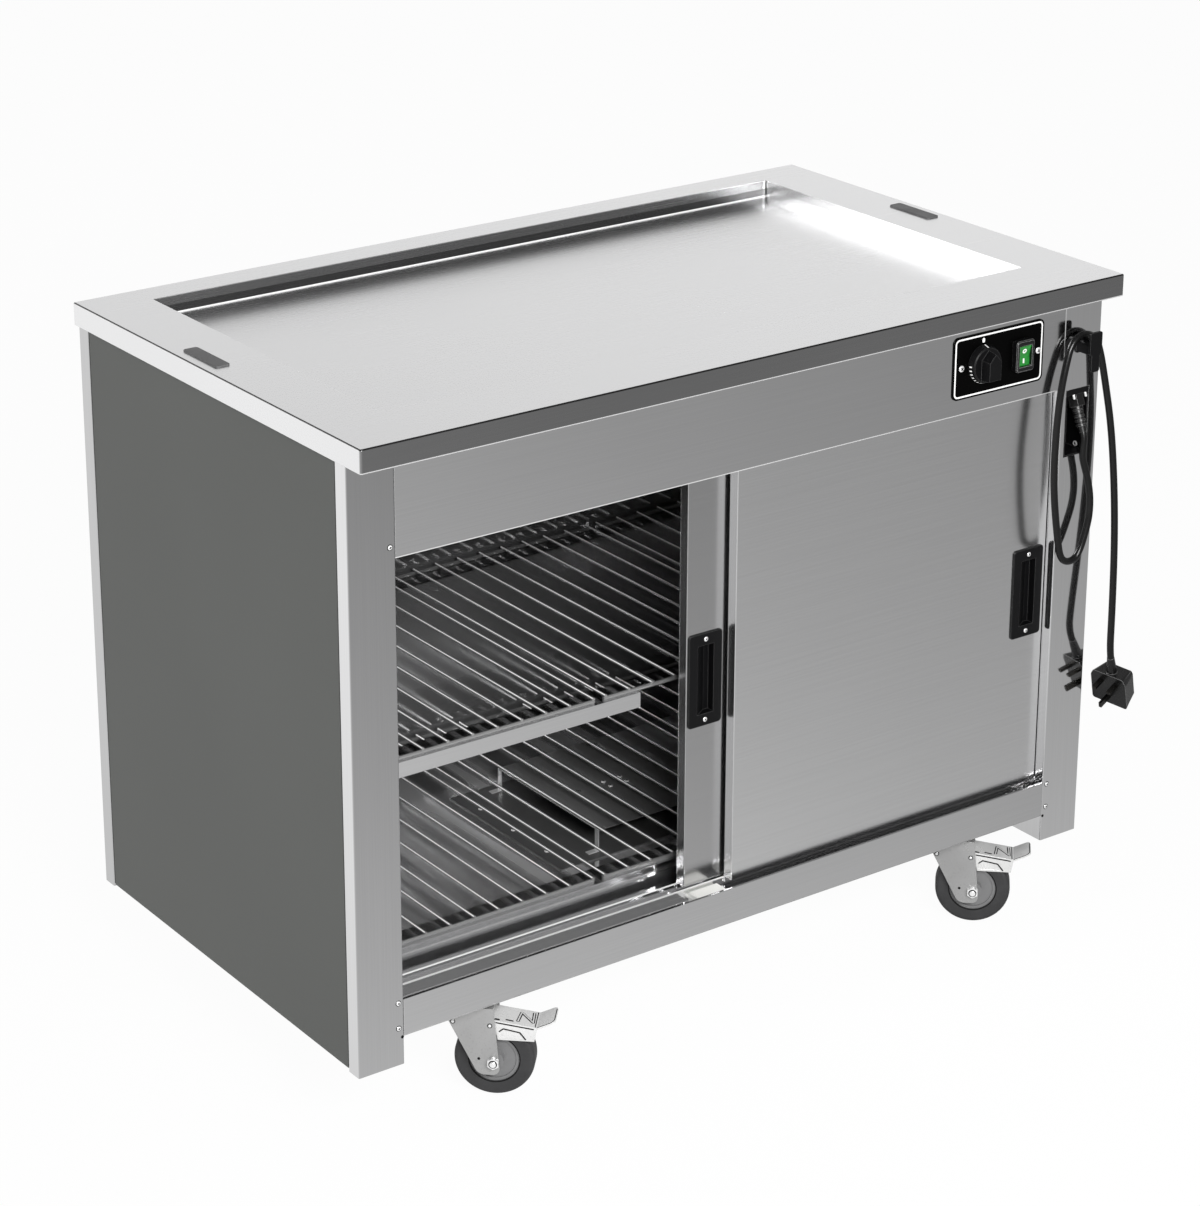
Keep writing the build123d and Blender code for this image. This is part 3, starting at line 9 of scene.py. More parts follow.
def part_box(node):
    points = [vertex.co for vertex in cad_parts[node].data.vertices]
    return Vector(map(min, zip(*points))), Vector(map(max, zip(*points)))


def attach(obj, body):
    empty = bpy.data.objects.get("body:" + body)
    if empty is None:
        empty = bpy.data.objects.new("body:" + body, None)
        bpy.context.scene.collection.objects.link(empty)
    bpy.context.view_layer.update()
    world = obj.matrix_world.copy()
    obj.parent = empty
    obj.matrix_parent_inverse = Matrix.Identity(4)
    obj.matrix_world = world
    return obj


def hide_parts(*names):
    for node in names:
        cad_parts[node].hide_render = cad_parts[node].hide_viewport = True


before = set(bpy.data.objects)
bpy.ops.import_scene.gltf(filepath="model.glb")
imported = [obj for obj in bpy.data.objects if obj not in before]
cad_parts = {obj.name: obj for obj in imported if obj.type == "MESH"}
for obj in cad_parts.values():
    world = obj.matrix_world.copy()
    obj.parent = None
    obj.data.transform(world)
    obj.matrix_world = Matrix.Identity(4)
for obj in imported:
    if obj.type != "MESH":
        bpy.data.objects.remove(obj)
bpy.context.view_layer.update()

bl_info = {
    "name": "Heated servery unit",
    "version": (1, 0, 0),
    "blender": (4, 5, 0),
    "location": "View3D > Sidebar > Servery",
    "description": "Finishes, fittings and stage of a mobile heated servery unit",
    "category": "Object",
}

# Route of the mains lead: from the boot's tip into its loop, over the hook and down to the plug.
LEAD_ROUTE = (
    (0.5455, -0.308840, 0.684066), (0.5455, -0.311962, 0.676711), (0.5430, -0.3130, 0.6630),
    (0.5428, -0.3132, 0.6515), (0.5460, -0.3137, 0.6400), (0.5496, -0.3144, 0.6290),
    (0.5536, -0.3156, 0.6140), (0.5564, -0.3172, 0.5950), (0.5556, -0.3188, 0.5750),
    (0.5512, -0.3203, 0.5560), (0.5365, -0.3216, 0.5175), (0.5197, -0.3218, 0.5111),
    (0.5037, -0.3216, 0.5194), (0.4976, -0.3210, 0.5500), (0.4927, -0.3200, 0.5830),
    (0.4894, -0.3190, 0.6140), (0.4885, -0.3180, 0.6483), (0.4896, -0.3170, 0.6800),
    (0.4920, -0.3160, 0.7140), (0.4966, -0.3150, 0.7500), (0.5049, -0.3135, 0.7830),
    (0.5150, -0.3115, 0.8118), (0.5360, -0.3110, 0.8218), (0.5586, -0.3110, 0.8121),
    (0.5669, -0.3125, 0.7892), (0.5741, -0.3160, 0.7500), (0.5834, -0.3205, 0.6943),
    (0.5879, -0.3250, 0.6378), (0.5899, -0.3300, 0.5745), (0.5893, -0.3345, 0.5111),
    (0.5868, -0.3385, 0.4475), (0.5851, -0.3405, 0.4114), (0.5842, -0.3415, 0.3796),
    (0.5891, -0.3388, 0.3646),
)
CASTORS = {
    "front_left": (-0.390, -0.240), "front_right": (0.390, -0.240),
    "rear_left": (-0.390, 0.266), "rear_right": (0.390, 0.266),
}
CASTOR_TURN = radians(-42)
BRAKED = ("front_left", "front_right")

# Places on the solids, in metres. A pair gives both sides of a wall, a fold or a rib.
WELL_END = (0.4898, 0.4930)
WELL_BACK = (0.2898, 0.2930)
WELL_FRONT = -0.2400
WELL_FLOOR = 0.8764
WELL_FOLD = (0.8761, 0.8773)
SILL_CHANNEL = -0.2705
SILL_RIB = (-0.2698, -0.2662)
SILL_WALL = (-0.2500, -0.2478)
# Heights in the cupboard, one pair for the back wall's painted shade, and the X where the heater's
# straps and their painted highlight end.
CUPBOARD_FLOOR = 0.175
SHELF_SHADOW = (0.455, 0.50)
HEATER_STRAPS = -0.0801
# X and Z of the screws and holes in the front posts.
POST_SCREWS = ((-0.5188, 0.1508), (-0.5188, 0.1842), (-0.5188, 0.7612),
               (0.5188, 0.1508), (0.5188, 0.1842))
POST_HOLES = ((-0.5139, 0.1383), (0.5139, 0.1383))
# Height of the controls, X of their plate's screws, and the middle of the rocker's pivot.
CONTROL_ROW = 0.8095
PLATE_SCREWS = (0.3335, 0.4640)
ROCKER_PIVOT = (0.435, -0.3055, CONTROL_ROW)
# Trail and height of a castor's axle, and a fork's outer face from the wheel's middle.
AXLE = (0.0430, 0.0500)
LEG_FACE = 0.0240

# Scales of brushed grain that runs along X or Z.
ALONG_X = (5.0, 620.0, 620.0)
ALONG_Z = (620.0, 620.0, 5.0)
# Depth of pores, distance within which points join, and angle from which an edge is sharp.
PORE = 0.0003
JOIN = 1e-7
SHARP = radians(34)
BLACK = (0.0, 0.0, 0.0, 1.0)


def length(name, description, default):
    """A length that the user may change."""
    return FloatProperty(name=name, description=description, default=default, min=0.0,
                         unit="LENGTH", precision=5)


def colour(name, description, *default):
    """A linear colour that the user may change."""
    return FloatVectorProperty(name=name, description=description, default=default, size=3,
                               min=0.0, max=1.0, subtype="COLOR")


def share(name, description, default, most=1.0):
    """A plain factor, such as a roughness or a level of light."""
    return FloatProperty(name=name, description=description, default=default, min=0.0, max=most,
                         subtype="FACTOR")


def power(name, description, default):
    """The power of a lamp."""
    return FloatProperty(name=name, description=description, default=default, min=0.0,
                         subtype="POWER")


class ServerySizes(bpy.types.PropertyGroup):
    """Sizes of the fittings and the print."""

    lead_diameter: length("Lead diameter", "Outside diameter of the mains lead", 0.0094)
    lead_length: length("Lead length", "Length of the mains lead from boot to plug", 0.999)
    post_screw: length("Post screw", "Head radius of the screws in the front posts", 0.0029)
    plate_screw: length("Plate screw", "Head radius of the control plate's screws", 0.0042)
    pull_screw: length("Pull screw", "Head radius of the door pulls' screws", 0.0030)
    print_line: length("Print line", "Width of the line printed round the control plate", 0.0022)
    print_inset: length("Print inset", "Distance of that line from the plate's edge", 0.0024)
    print_rise: length("Print rise", "Thickness of the printed marks", 0.00012)
    tread_rib: length("Tread rib", "Height of the ribs on the brake pedals", 0.0009)


class ServeryFinishes(bpy.types.PropertyGroup):
    """Colours and gloss of the finishes."""

    counter: colour("Counter steel", "Worktop and well", 0.84, 0.84, 0.845)
    body: colour("Body steel", "Posts, fascia and rail", 0.78, 0.78, 0.785)
    door: colour("Door steel", "Sliding doors", 0.87, 0.87, 0.875)
    inner: colour("Cupboard steel", "Sheet inside the cupboard", 0.62, 0.62, 0.625)
    wire: colour("Wire", "Bright wire of the grids", 0.95, 0.95, 0.95)
    laminate: colour("Laminate", "Side panels", 0.110, 0.115, 0.108)
    plastic: colour("Moulded plastic", "Pulls, knob, hook and switch", 0.004, 0.004, 0.0044)
    rubber: colour("Lead rubber", "Lead, gland and plug", 0.005, 0.005, 0.005)
    tyre: colour("Tyre rubber", "Castor tyres", 0.026, 0.026, 0.027)
    hub: colour("Hub", "Castor wheel centres", 0.18, 0.18, 0.182)
    zinc: colour("Zinc plate", "Castor forks", 0.44, 0.44, 0.438)
    plate: colour("Control plate", "Ground of the control plate", 0.001, 0.001, 0.001)
    mark: colour("Print", "Printed marks", 0.86, 0.86, 0.85)
    lens: colour("Rocker", "Green rocker of the switch", 0.016, 0.205, 0.028)
    nylon: colour("Nylon", "Door guide and hangers", 0.80, 0.80, 0.77)
    counter_gloss: share("Counter roughness", "Roughness of the worktop", 0.27)
    body_gloss: share("Body roughness", "Roughness of the posts and the fascia", 0.10)
    door_gloss: share("Door roughness", "Roughness of the doors", 0.20)


class ServeryStage(bpy.types.PropertyGroup):
    """Camera, floor and light."""

    place: FloatVectorProperty(name="Camera place", description="Where the camera stands",
                               default=(-2.3973, -3.2866, 2.1387), subtype="TRANSLATION",
                               unit="LENGTH")
    angle: FloatVectorProperty(name="Camera angle", description="How the camera is turned",
                               default=(radians(71.32722), radians(0.14703), radians(-35.06587)),
                               subtype="EULER")
    lens: FloatProperty(name="Lens", description="Focal length in millimetres", default=100.246,
                        min=1.0)
    shift: FloatVectorProperty(name="Lens shift", description="Shift of the frame across and up",
                               default=(0.04620, -0.17689), size=2)
    floor: length("Floor", "Side of the square floor", 60.0)
    ambient: share("Ambient", "Even light round the object", 0.33, 4.0)
    key: power("Key lamp", "Power of the large lamp before the unit", 140.0)
    side: power("Side lamp", "Power of the lamp behind the unit's left end", 27.0)


def sizes():
    return bpy.context.scene.servery_sizes


def finishes():
    return bpy.context.scene.servery_finishes


class Flow:
    """One socket of a node tree. Sums and products of it add the Math nodes that they need."""

    def __init__(self, tree, socket=None):
        self.tree = tree
        self.socket = socket

    def node(self, kind, settings=None, inputs=None, output=0):
        """Add a node, give it its settings, then set or link its sockets."""
        made = self.tree.nodes.new(kind)
        for name, value in (settings or {}).items():
            setattr(made, name, value)
        for key, value in (inputs or {}).items():
            if isinstance(value, Flow):
                self.tree.links.new(value.socket, made.inputs[key])
            else:
                made.inputs[key].default_value = value
        return Flow(self.tree, made.outputs[output] if made.outputs else None)

    def maths(self, operation, first, second):
        return self.node("ShaderNodeMath", {"operation": operation}, {0: first, 1: second})

    def __add__(self, other):
        return self.maths("ADD", self, other)

    __radd__ = __add__

    def __sub__(self, other):
        return self.maths("SUBTRACT", self, other)

    def __rsub__(self, other):
        return self.maths("SUBTRACT", other, self)

    def __mul__(self, other):
        return self.maths("MULTIPLY", self, other)

    __rmul__ = __mul__

    def __truediv__(self, other):
        return self.maths("DIVIDE", self, other)

    def clamp(self, low=0.0, high=1.0):
        return self.node("ShaderNodeClamp", inputs={"Value": self, "Min": low, "Max": high})

    def ramp(self, low, high):
        """0 below low, 1 above high, smooth between."""
        return self.node("ShaderNodeMapRange", {"interpolation_type": "SMOOTHSTEP"},
                         {"Value": self, "From Min": low, "From Max": high})

    def blend(self, first, second):
        """Mix two colours by this factor."""
        return self.node("ShaderNodeMix", {"data_type": "RGBA"}, {0: self, 6: first, 7: second}, 2)

    def vector(self, operation, *inputs):
        """The value of a vector sum, such as a length or a dot product."""
        return self.node("ShaderNodeVectorMath", {"operation": operation}, dict(enumerate(inputs)),
                         "Value")

    def place(self):
        """The Object coordinates."""
        return self.node("ShaderNodeTexCoord", output="Object")

    def normal(self):
        """The normal of the face itself."""
        return self.node("ShaderNodeNewGeometry", output="Normal")

    def rays(self):
        """1 on camera rays, on glossy rays and on rays that pass through, as three values."""
        return [self.node("ShaderNodeLightPath", output=f"Is {kind} Ray")
                for kind in ("Camera", "Glossy", "Transmission")]

    def noise(self, scale, detail=2.0, stretch=None):
        """Noise on Object coordinates, drawn out where a stretch is given."""
        place = self.place()
        if stretch:
            place = self.node("ShaderNodeMapping", inputs={"Vector": place, "Scale": stretch})
        return self.node("ShaderNodeTexNoise",
                         inputs={"Vector": place, "Scale": scale, "Detail": detail})

    def axis(self, name):
        """One Object coordinate."""
        return self.node("ShaderNodeSeparateXYZ", inputs={0: self.place()}, output=name)

    def before(self, name, edge, soft=0.001):
        """1 where an Object coordinate is less than the edge, 0 past it."""
        return 1 - self.axis(name).ramp(edge, edge + soft)

    def band(self, name, low, high):
        """1 between two Object coordinates, 0 outside them."""
        soft = 0.0004
        return self.axis(name).ramp(low - soft, low) * self.before(name, high, soft)

    def rounded(self, radius):
        """The normal, with edges rounded off by a radius."""
        return self.node("ShaderNodeBevel", {"samples": 4}, {"Radius": radius})

    def edges(self, radius):
        """1 on edges, out to a radius, 0 on the faces between them."""
        along = self.vector("DOT_PRODUCT", self.rounded(radius), self.normal())
        return (1 - along).ramp(0.01, 0.12)

    def towards(self, direction):
        """1 on faces that look in a direction, 0 on those turned away from it."""
        return self.vector("DOT_PRODUCT", self.normal(), direction).ramp(0.88, 0.96)

    def bump(self, height, strength, normal=None, distance=PORE):
        inputs = {"Strength": strength, "Distance": distance, "Height": height}
        if normal:
            inputs["Normal"] = normal
        return self.node("ShaderNodeBump", inputs=inputs)


def grey(level):
    return (level, level, level)


def scaled(value, factor):
    """A colour, lighter or darker by a factor."""
    return tuple(min(1.0, part * factor) for part in value)


def tint(value, factor=1.0):
    """A colour socket's value from a colour, lighter or darker by a factor."""
    return (*scaled(value, factor), 1.0)


def begin(name):
    material = bpy.data.materials.new(name)
    material.use_nodes = True
    material.node_tree.nodes.clear()
    return material, Flow(material.node_tree)


def close(material, flow, tone, rough, normal, more=None):
    """End a finish in its shader and output."""
    inputs = {"Base Color": tone, "Roughness": rough, "Normal": normal, **(more or {})}
    surface = flow.node("ShaderNodeBsdfPrincipled", inputs=inputs)
    flow.node("ShaderNodeOutputMaterial", inputs={"Surface": surface})
    return material


def kept(make):
    """Make each finish once, under the name given first."""
    def lookup(name, *values, **settings):
        name = f"{name}_finish"
        return bpy.data.materials.get(name) or make(name, *values, **settings)
    return lookup


@kept
def brushed_steel(name, base, roughness, grain, relief=0.003, edge=0.0007, shade=None, glint=None):
    """Brushed sheet: fine streaks, faint clouding, edges painted bright as a highlight, and painted
    shade and highlights where masks are given.
    """
    material, flow = begin(name)
    streak = flow.noise(1.0, 3.0, grain)
    cloud = flow.noise(3.5)
    tone = (streak * 0.7 + cloud * 0.3).ramp(0.3, 0.7).blend(tint(base, 0.98), tint(base, 1.02))
    # Painted shade: the given mask darkens the colour towards black.
    if shade:
        tone = shade(flow).blend(tone, BLACK)
    # Painted highlight: rounded edges lightened towards pale grey.
    tone = (flow.edges(edge) * 0.8).blend(tone, tint(grey(0.93)))
    metal = 1.0
    # Painted highlight: the given mask turns the colour pale and less metallic.
    if glint:
        bright = glint(flow)
        tone = bright.blend(tone, tint(grey(0.90)))
        metal = 1 - bright * 0.85
    rough = (roughness + (streak - 0.5) * 0.03 + (cloud - 0.5) * 0.03).clamp(0.02, 0.9)
    normal = flow.bump(streak, relief, flow.rounded(edge))
    return close(material, flow, tone, rough, normal, {"Metallic": metal})


@kept
def rolled_sheet(name, base, roughness, spots=0.0, metal=1.0, edge=0.0, painted_parts=()):
    """Plain rolled or plated metal: soft blotches, small dull spots where it is plated, and given
    parts painted to a grey level as painted light.
    """
    material, flow = begin(name)
    grit = 0.03
    cloud = flow.noise(14.0, 4.0)
    fleck = flow.noise(420.0)
    tone = cloud.ramp(0.3, 0.7).blend(tint(base, 0.92), tint(base, 1.05))
    tone = (fleck.ramp(0.58, 0.72) * spots).blend(tone, tint(base, 0.55))
    # Painted light: each mask sets the colour to a grey level.
    for mask, level in painted_parts:
        tone = mask(flow).blend(tone, tint(grey(level)))
    rough = roughness + (cloud - 0.5) * roughness * 0.5 + (fleck - 0.5) * grit
    normal = flow.bump(fleck, grit, flow.rounded(edge) if edge else None)
    return close(material, flow, tone, rough.clamp(0.03, 0.9), normal, {"Metallic": metal})


@kept
def polished_sheet(name, base, roughness, back):
    """Polished sheet: pale bands painted on the floor as reflections, and a back wall in painted
    shade, darker to its top.
    """
    material, flow = begin(name)
    cloud = flow.noise(14.0, 4.0)
    # Painted reflection: pale, less metallic bands on the floor.
    bands = flow.noise(1.0, 1.0, (42.0, 2.0, 6.0)).ramp(0.36, 0.64)
    bands = bands * flow.before("Z", CUPBOARD_FLOOR, 0.01)
    tone = bands.blend(tint(base, 0.80), tint(base, 1.36))
    # Painted shade on the back wall, deepest towards its top.
    wall = flow.axis("Z").ramp(*SHELF_SHADOW).blend(tint(base, 0.84), tint(base, 0.22))
    tone = (1 - flow.before("Y", back)).blend(tone, wall)
    rough = (roughness + (cloud - 0.5) * roughness * 0.5).clamp(0.03, 0.9)
    normal = flow.bump(cloud, 0.01)
    return close(material, flow, tone, rough, normal, {"Metallic": 0.86 - bands * 0.16})


@kept
def plated_wire(name, base):
    """Bright-plated wire: a painted highlight on faces turned up and left, painted shade on the
    other flanks, and fine drawing marks.
    """
    material, flow = begin(name)
    drawn = flow.noise(1.0, 3.0, (900.0, 14.0, 900.0))
    # Painted highlight on faces turned up and left, also made less metallic; painted shade at half
    # the colour elsewhere.
    crown = flow.towards((-0.707, 0.0, 0.707))
    tone = drawn.ramp(0.3, 0.7).blend(tint(base, 0.46), tint(base, 0.54))
    tone = crown.blend(tone, tint(base))
    rough = 0.22 + (drawn - 0.5) * 0.08
    normal = flow.bump(drawn, 0.02)
    return close(material, flow, tone, rough, normal, {"Metallic": 0.75 - crown * 0.75})


@kept
def laminate(name, base):
    """Plain high-pressure laminate with a fine pebbled press and a hint of speckle."""
    material, flow = begin(name)
    speckle = flow.noise(950.0)
    cloud = flow.noise(2.2)
    tone = (speckle * 0.5 + cloud * 0.5).ramp(0.3, 0.7)
    tone = tone.blend(tint(base, 0.93), tint(base, 1.07))
    rough = 0.46 + (speckle - 0.5) * 0.14
    normal = flow.bump(speckle, 0.12)
    return close(material, flow, tone, rough, normal, {"Specular IOR Level": 0.35})


@kept
def moulding(name, base, roughness, spark=900.0, relief=0.15, wear=0.25, shine=0.5, edge=0.0,
             rim=0.0):
    """Spark-textured moulding, a little paler where it is handled, with a painted highlight on its
    edges if a rim is given.
    """
    material, flow = begin(name)
    texture = flow.noise(spark, 3.0)
    handled = flow.noise(28.0, 3.0).ramp(0.45, 0.75) * wear
    tone = handled.blend(tint(base), tint(base, 2.2))
    # Painted highlight: edges lightened towards pale grey by the rim share.
    if rim:
        tone = (flow.edges(edge) * rim).blend(tone, tint(grey(0.80)))
    rough = (roughness + (texture - 0.5) * 0.16 - handled * 0.12).clamp(0.05, 0.95)
    normal = flow.bump(texture, relief, flow.rounded(edge) if edge else None)
    return close(material, flow, tone, rough, normal, {"Specular IOR Level": shine})


@kept
def tyre_rubber(name, base):
    """Grey-black rubber with dust in its pores and a scuffed tread."""
    material, flow = begin(name)
    dust = flow.noise(160.0, 4.0)
    scuff = flow.noise(35.0, 3.0).ramp(0.4, 0.75)
    tone = (dust * 0.5 + scuff * 0.4).clamp().blend(tint(base, 0.8), tint(base, 1.7))
    rough = (0.62 + (dust - 0.5) * 0.3).clamp(0.3, 0.95)
    return close(material, flow, tone, rough, flow.bump(dust, 0.2, distance=0.0004))


@kept
def green_lens(name, base):
    """Clear green plastic with a soft inner mottle."""
    material, flow = begin(name)
    ripple = flow.noise(240.0)
    tone = ripple.ramp(0.3, 0.7).blend(tint(base, 0.85), tint(base, 1.15))
    rough = 0.16 + ripple * 0.08
    normal = flow.bump(ripple, 0.05, distance=0.0002)
    return close(material, flow, tone, rough, normal, {"Coat Weight": 0.4, "Coat Roughness": 0.08})


@kept
def printed_mark(name, base):
    """Screen-printed ink, thin at the grain of the plate."""
    material, flow = begin(name)
    grain = flow.noise(1400.0)
    tone = grain.ramp(0.25, 0.6).blend(tint(base, 0.86), tint(base))
    normal = flow.bump(grain, 0.05, distance=0.0001)
    return close(material, flow, tone, 0.42 + grain * 0.1, normal)


def plastic():
    return moulding("moulded_black", finishes().plastic, 0.40, relief=0.08, wear=0.1, shine=0.16,
                    edge=0.0008, rim=0.10)


def nylon():
    return moulding("white_nylon", finishes().nylon, 0.4, wear=0.0)


def screw_steel():
    return rolled_sheet("screw_steel", grey(0.90), 0.20, spots=0.1, metal=0.4)


# Painted shade: a black that stands in for the shade in holes, slots and grooves and round screws,
# nuts and rivets.
def dark_recess():
    return moulding("dark_recess", grey(0.006), 0.7, shine=0.1)


def white_print():
    return printed_mark("white_print", finishes().mark)


def zinc():
    return rolled_sheet("zinc_plate", finishes().zinc, 0.26, spots=0.3, metal=0.55, edge=0.0006)


def pedal_zinc():
    return rolled_sheet("pedal_zinc", (0.76, 0.76, 0.755), 0.26, spots=0.3, metal=0.3, edge=0.0006)


def dress(finish, *names):
    """Give CAD nodes a finish in their material slots."""
    for name in names:
        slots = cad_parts[name].data.materials
        slots.clear()
        slots.append(finish)


def spot(node, x, y, z):
    """A point in a node's box: each share runs from its lowest side, 0, to its highest, 1."""
    low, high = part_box(node)
    return Vector(l + (h - l) * s for l, h, s in zip(low, high, (x, y, z)))


def facing(point, out, up=(0, 0, 1)):
    """A place at a point: local Z points out of the face, local Y as near to up as it can."""
    out = Vector(out).normalized()
    side = Vector(up).cross(out).normalized()
    return Matrix.Translation(point) @ Matrix((side, out.cross(side), out)).transposed().to_4x4()


def on_front(x, y, z, turn=0.0):
    """A place on an upright face: local Z points out to the front, local Y up."""
    return facing((x, y, z), (0, -1, 0)) @ Matrix.Rotation(turn, 4, "Z")


def as_mesh(name, shape):
    """Turn a shape into a mesh, and free the shape."""
    mesh = bpy.data.meshes.new(name)
    shape.to_mesh(mesh)
    shape.free()
    return mesh


def add_object(name, data):
    """Put data in the scene as an object."""
    thing = bpy.data.objects.new(name, data)
    bpy.context.scene.collection.objects.link(thing)
    return thing


def absorb(piece, shape, place, finish=0):
    """Close a shape's doubles, turn its faces outwards and add it to a piece."""
    bmesh.ops.remove_doubles(shape, verts=shape.verts, dist=JOIN)
    bmesh.ops.recalc_face_normals(shape, faces=shape.faces)
    for face in shape.faces:
        face.material_index = finish
    shape.transform(place)
    store = as_mesh("store", shape)
    piece.from_mesh(store)
    bpy.data.meshes.remove(store)


def add_turned(piece, place, profile, finish=0, steps=20):
    """Spin a half profile of radii and heights about the local Z axis."""
    shape = bmesh.new()
    points = [shape.verts.new((radius, 0.0, height)) for radius, height in profile]
    line = [shape.edges.new(pair) for pair in zip(points, points[1:])]
    bmesh.ops.spin(shape, geom=points + line, cent=(0, 0, 0), axis=(0, 0, 1), angle=tau,
                   steps=steps, use_merge=True)
    absorb(piece, shape, place, finish)


def rectangle(width, height, corner, segments):
    """A flat face on the local XY plane, with rounded corners where a radius is given."""
    shape = bmesh.new()
    bmesh.ops.create_grid(shape, x_segments=1, y_segments=1, size=0.5)
    bmesh.ops.scale(shape, vec=(width, height, 1.0), verts=shape.verts)
    if corner:
        bmesh.ops.bevel(shape, geom=shape.verts[:], offset=corner, segments=segments, profile=0.5,
                        affect="VERTICES", material=-1)
    return shape


def raise_faces(shape, rise):
    """Give flat faces a thickness, from the plane up."""
    made = bmesh.ops.extrude_face_region(shape, geom=shape.faces[:], use_keep_orig=True)["geom"]
    points = [part for part in made if isinstance(part, bmesh.types.BMVert)]
    bmesh.ops.translate(shape, vec=(0, 0, rise), verts=points)


def add_slab(piece, place, width, height, rise, corner=0.0, segments=4, finish=0):
    """A flat mark or rib with rounded corners, standing on the local XY plane."""
    shape = rectangle(width, height, corner, segments)
    raise_faces(shape, rise)
    absorb(piece, shape, place, finish)


def add_ring(piece, place, width, height, corner, line, rise):
    """A raised outline, as wide as its line, round a rectangle with rounded corners."""
    shape = rectangle(width, height, corner, 6)
    middle = shape.faces[:]
    bmesh.ops.inset_individual(shape, faces=middle, thickness=line, use_even_offset=True)
    bmesh.ops.delete(shape, geom=middle, context="FACES")
    raise_faces(shape, rise)
    absorb(piece, shape, place)


def add_strip(piece, place, start, end, width, rise, finish=0):
    """A straight slab on the local XY plane from one point to another."""
    start, end = Vector((*start, 0)), Vector((*end, 0))
    run = end - start
    middle = Matrix.Translation((start + end) / 2) @ Matrix.Rotation(atan2(run.y, run.x), 4, "Z")
    add_slab(piece, place @ middle, run.length + width * 0.6, width, rise, corner=width * 0.3,
             segments=2, finish=finish)


def add_lines(piece, place, points, width, rise, finish=1):
    """Strips from each point to the next, in the piece's second finish, the painted shade, unless
    told otherwise.
    """
    for start, end in zip(points, points[1:]):
        add_strip(piece, place, start, end, width, rise, finish)


def add_disc(piece, place, radius, rise=0.00015):
    """A thin round mark of painted shade, in the piece's second finish."""
    add_turned(piece, place, ((radius, 0.0), (radius, rise), (0.0, rise)), finish=1, steps=18)


def add_screw(piece, place, radius):
    """A domed pan head with a cross of painted shade, for its slot, sunk in its crown."""
    rise = radius * 0.45
    crown = rise * 0.94
    add_turned(piece, place, ((radius, 0.0), (radius, rise * 0.35), (radius * 0.86, rise * 0.72),
                              (radius * 0.58, crown), (0.0, rise)))
    for turn in (0.0, pi / 2):
        blade = Matrix.Rotation(turn, 4, "Z") @ Matrix.Translation((0, 0, crown * 0.85))
        add_slab(piece, place @ blade, radius * 1.15, radius * 0.32, rise * 0.22,
                 corner=radius * 0.1, segments=2, finish=1)


def add_hex_nut(piece, place, radius, rise, stud):
    """A hexagon nut with chamfered corners, on a stud that ends in a dome."""
    shape = bmesh.new()
    bmesh.ops.create_cone(shape, cap_ends=True, segments=6, radius1=radius, radius2=radius,
                          depth=rise, matrix=Matrix.Translation((0, 0, rise / 2)))
    top = [edge for edge in shape.edges if all(vert.co.z > rise * 0.9 for vert in edge.verts)]
    bmesh.ops.bevel(shape, geom=top, offset=rise * 0.14, segments=2, profile=0.5, affect="EDGES",
                    material=-1)
    absorb(piece, shape, place)
    add_turned(piece, place, ((stud, rise * 0.8), (stud, rise * 1.25), (stud * 0.7, rise * 1.42),
                              (0.0, rise * 1.45)))


def store_piece(name, piece, body, slot, *materials):
    """Keep a mesh as a piece that rides on a body, with its place in the mesh."""
    mesh = as_mesh(name, piece)
    for material in materials:
        mesh.materials.append(material)
    mesh.shade_smooth()
    mesh.set_sharp_from_angle(angle=SHARP)
    thing = add_object(name, mesh)
    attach(thing, body)


def store_screws(name, places, radius, body, slot):
    """One piece with a screw at each place."""
    piece = bmesh.new()
    for place in places:
        add_screw(piece, place, radius)
    store_piece(name, piece, body, slot, screw_steel(), dark_recess())


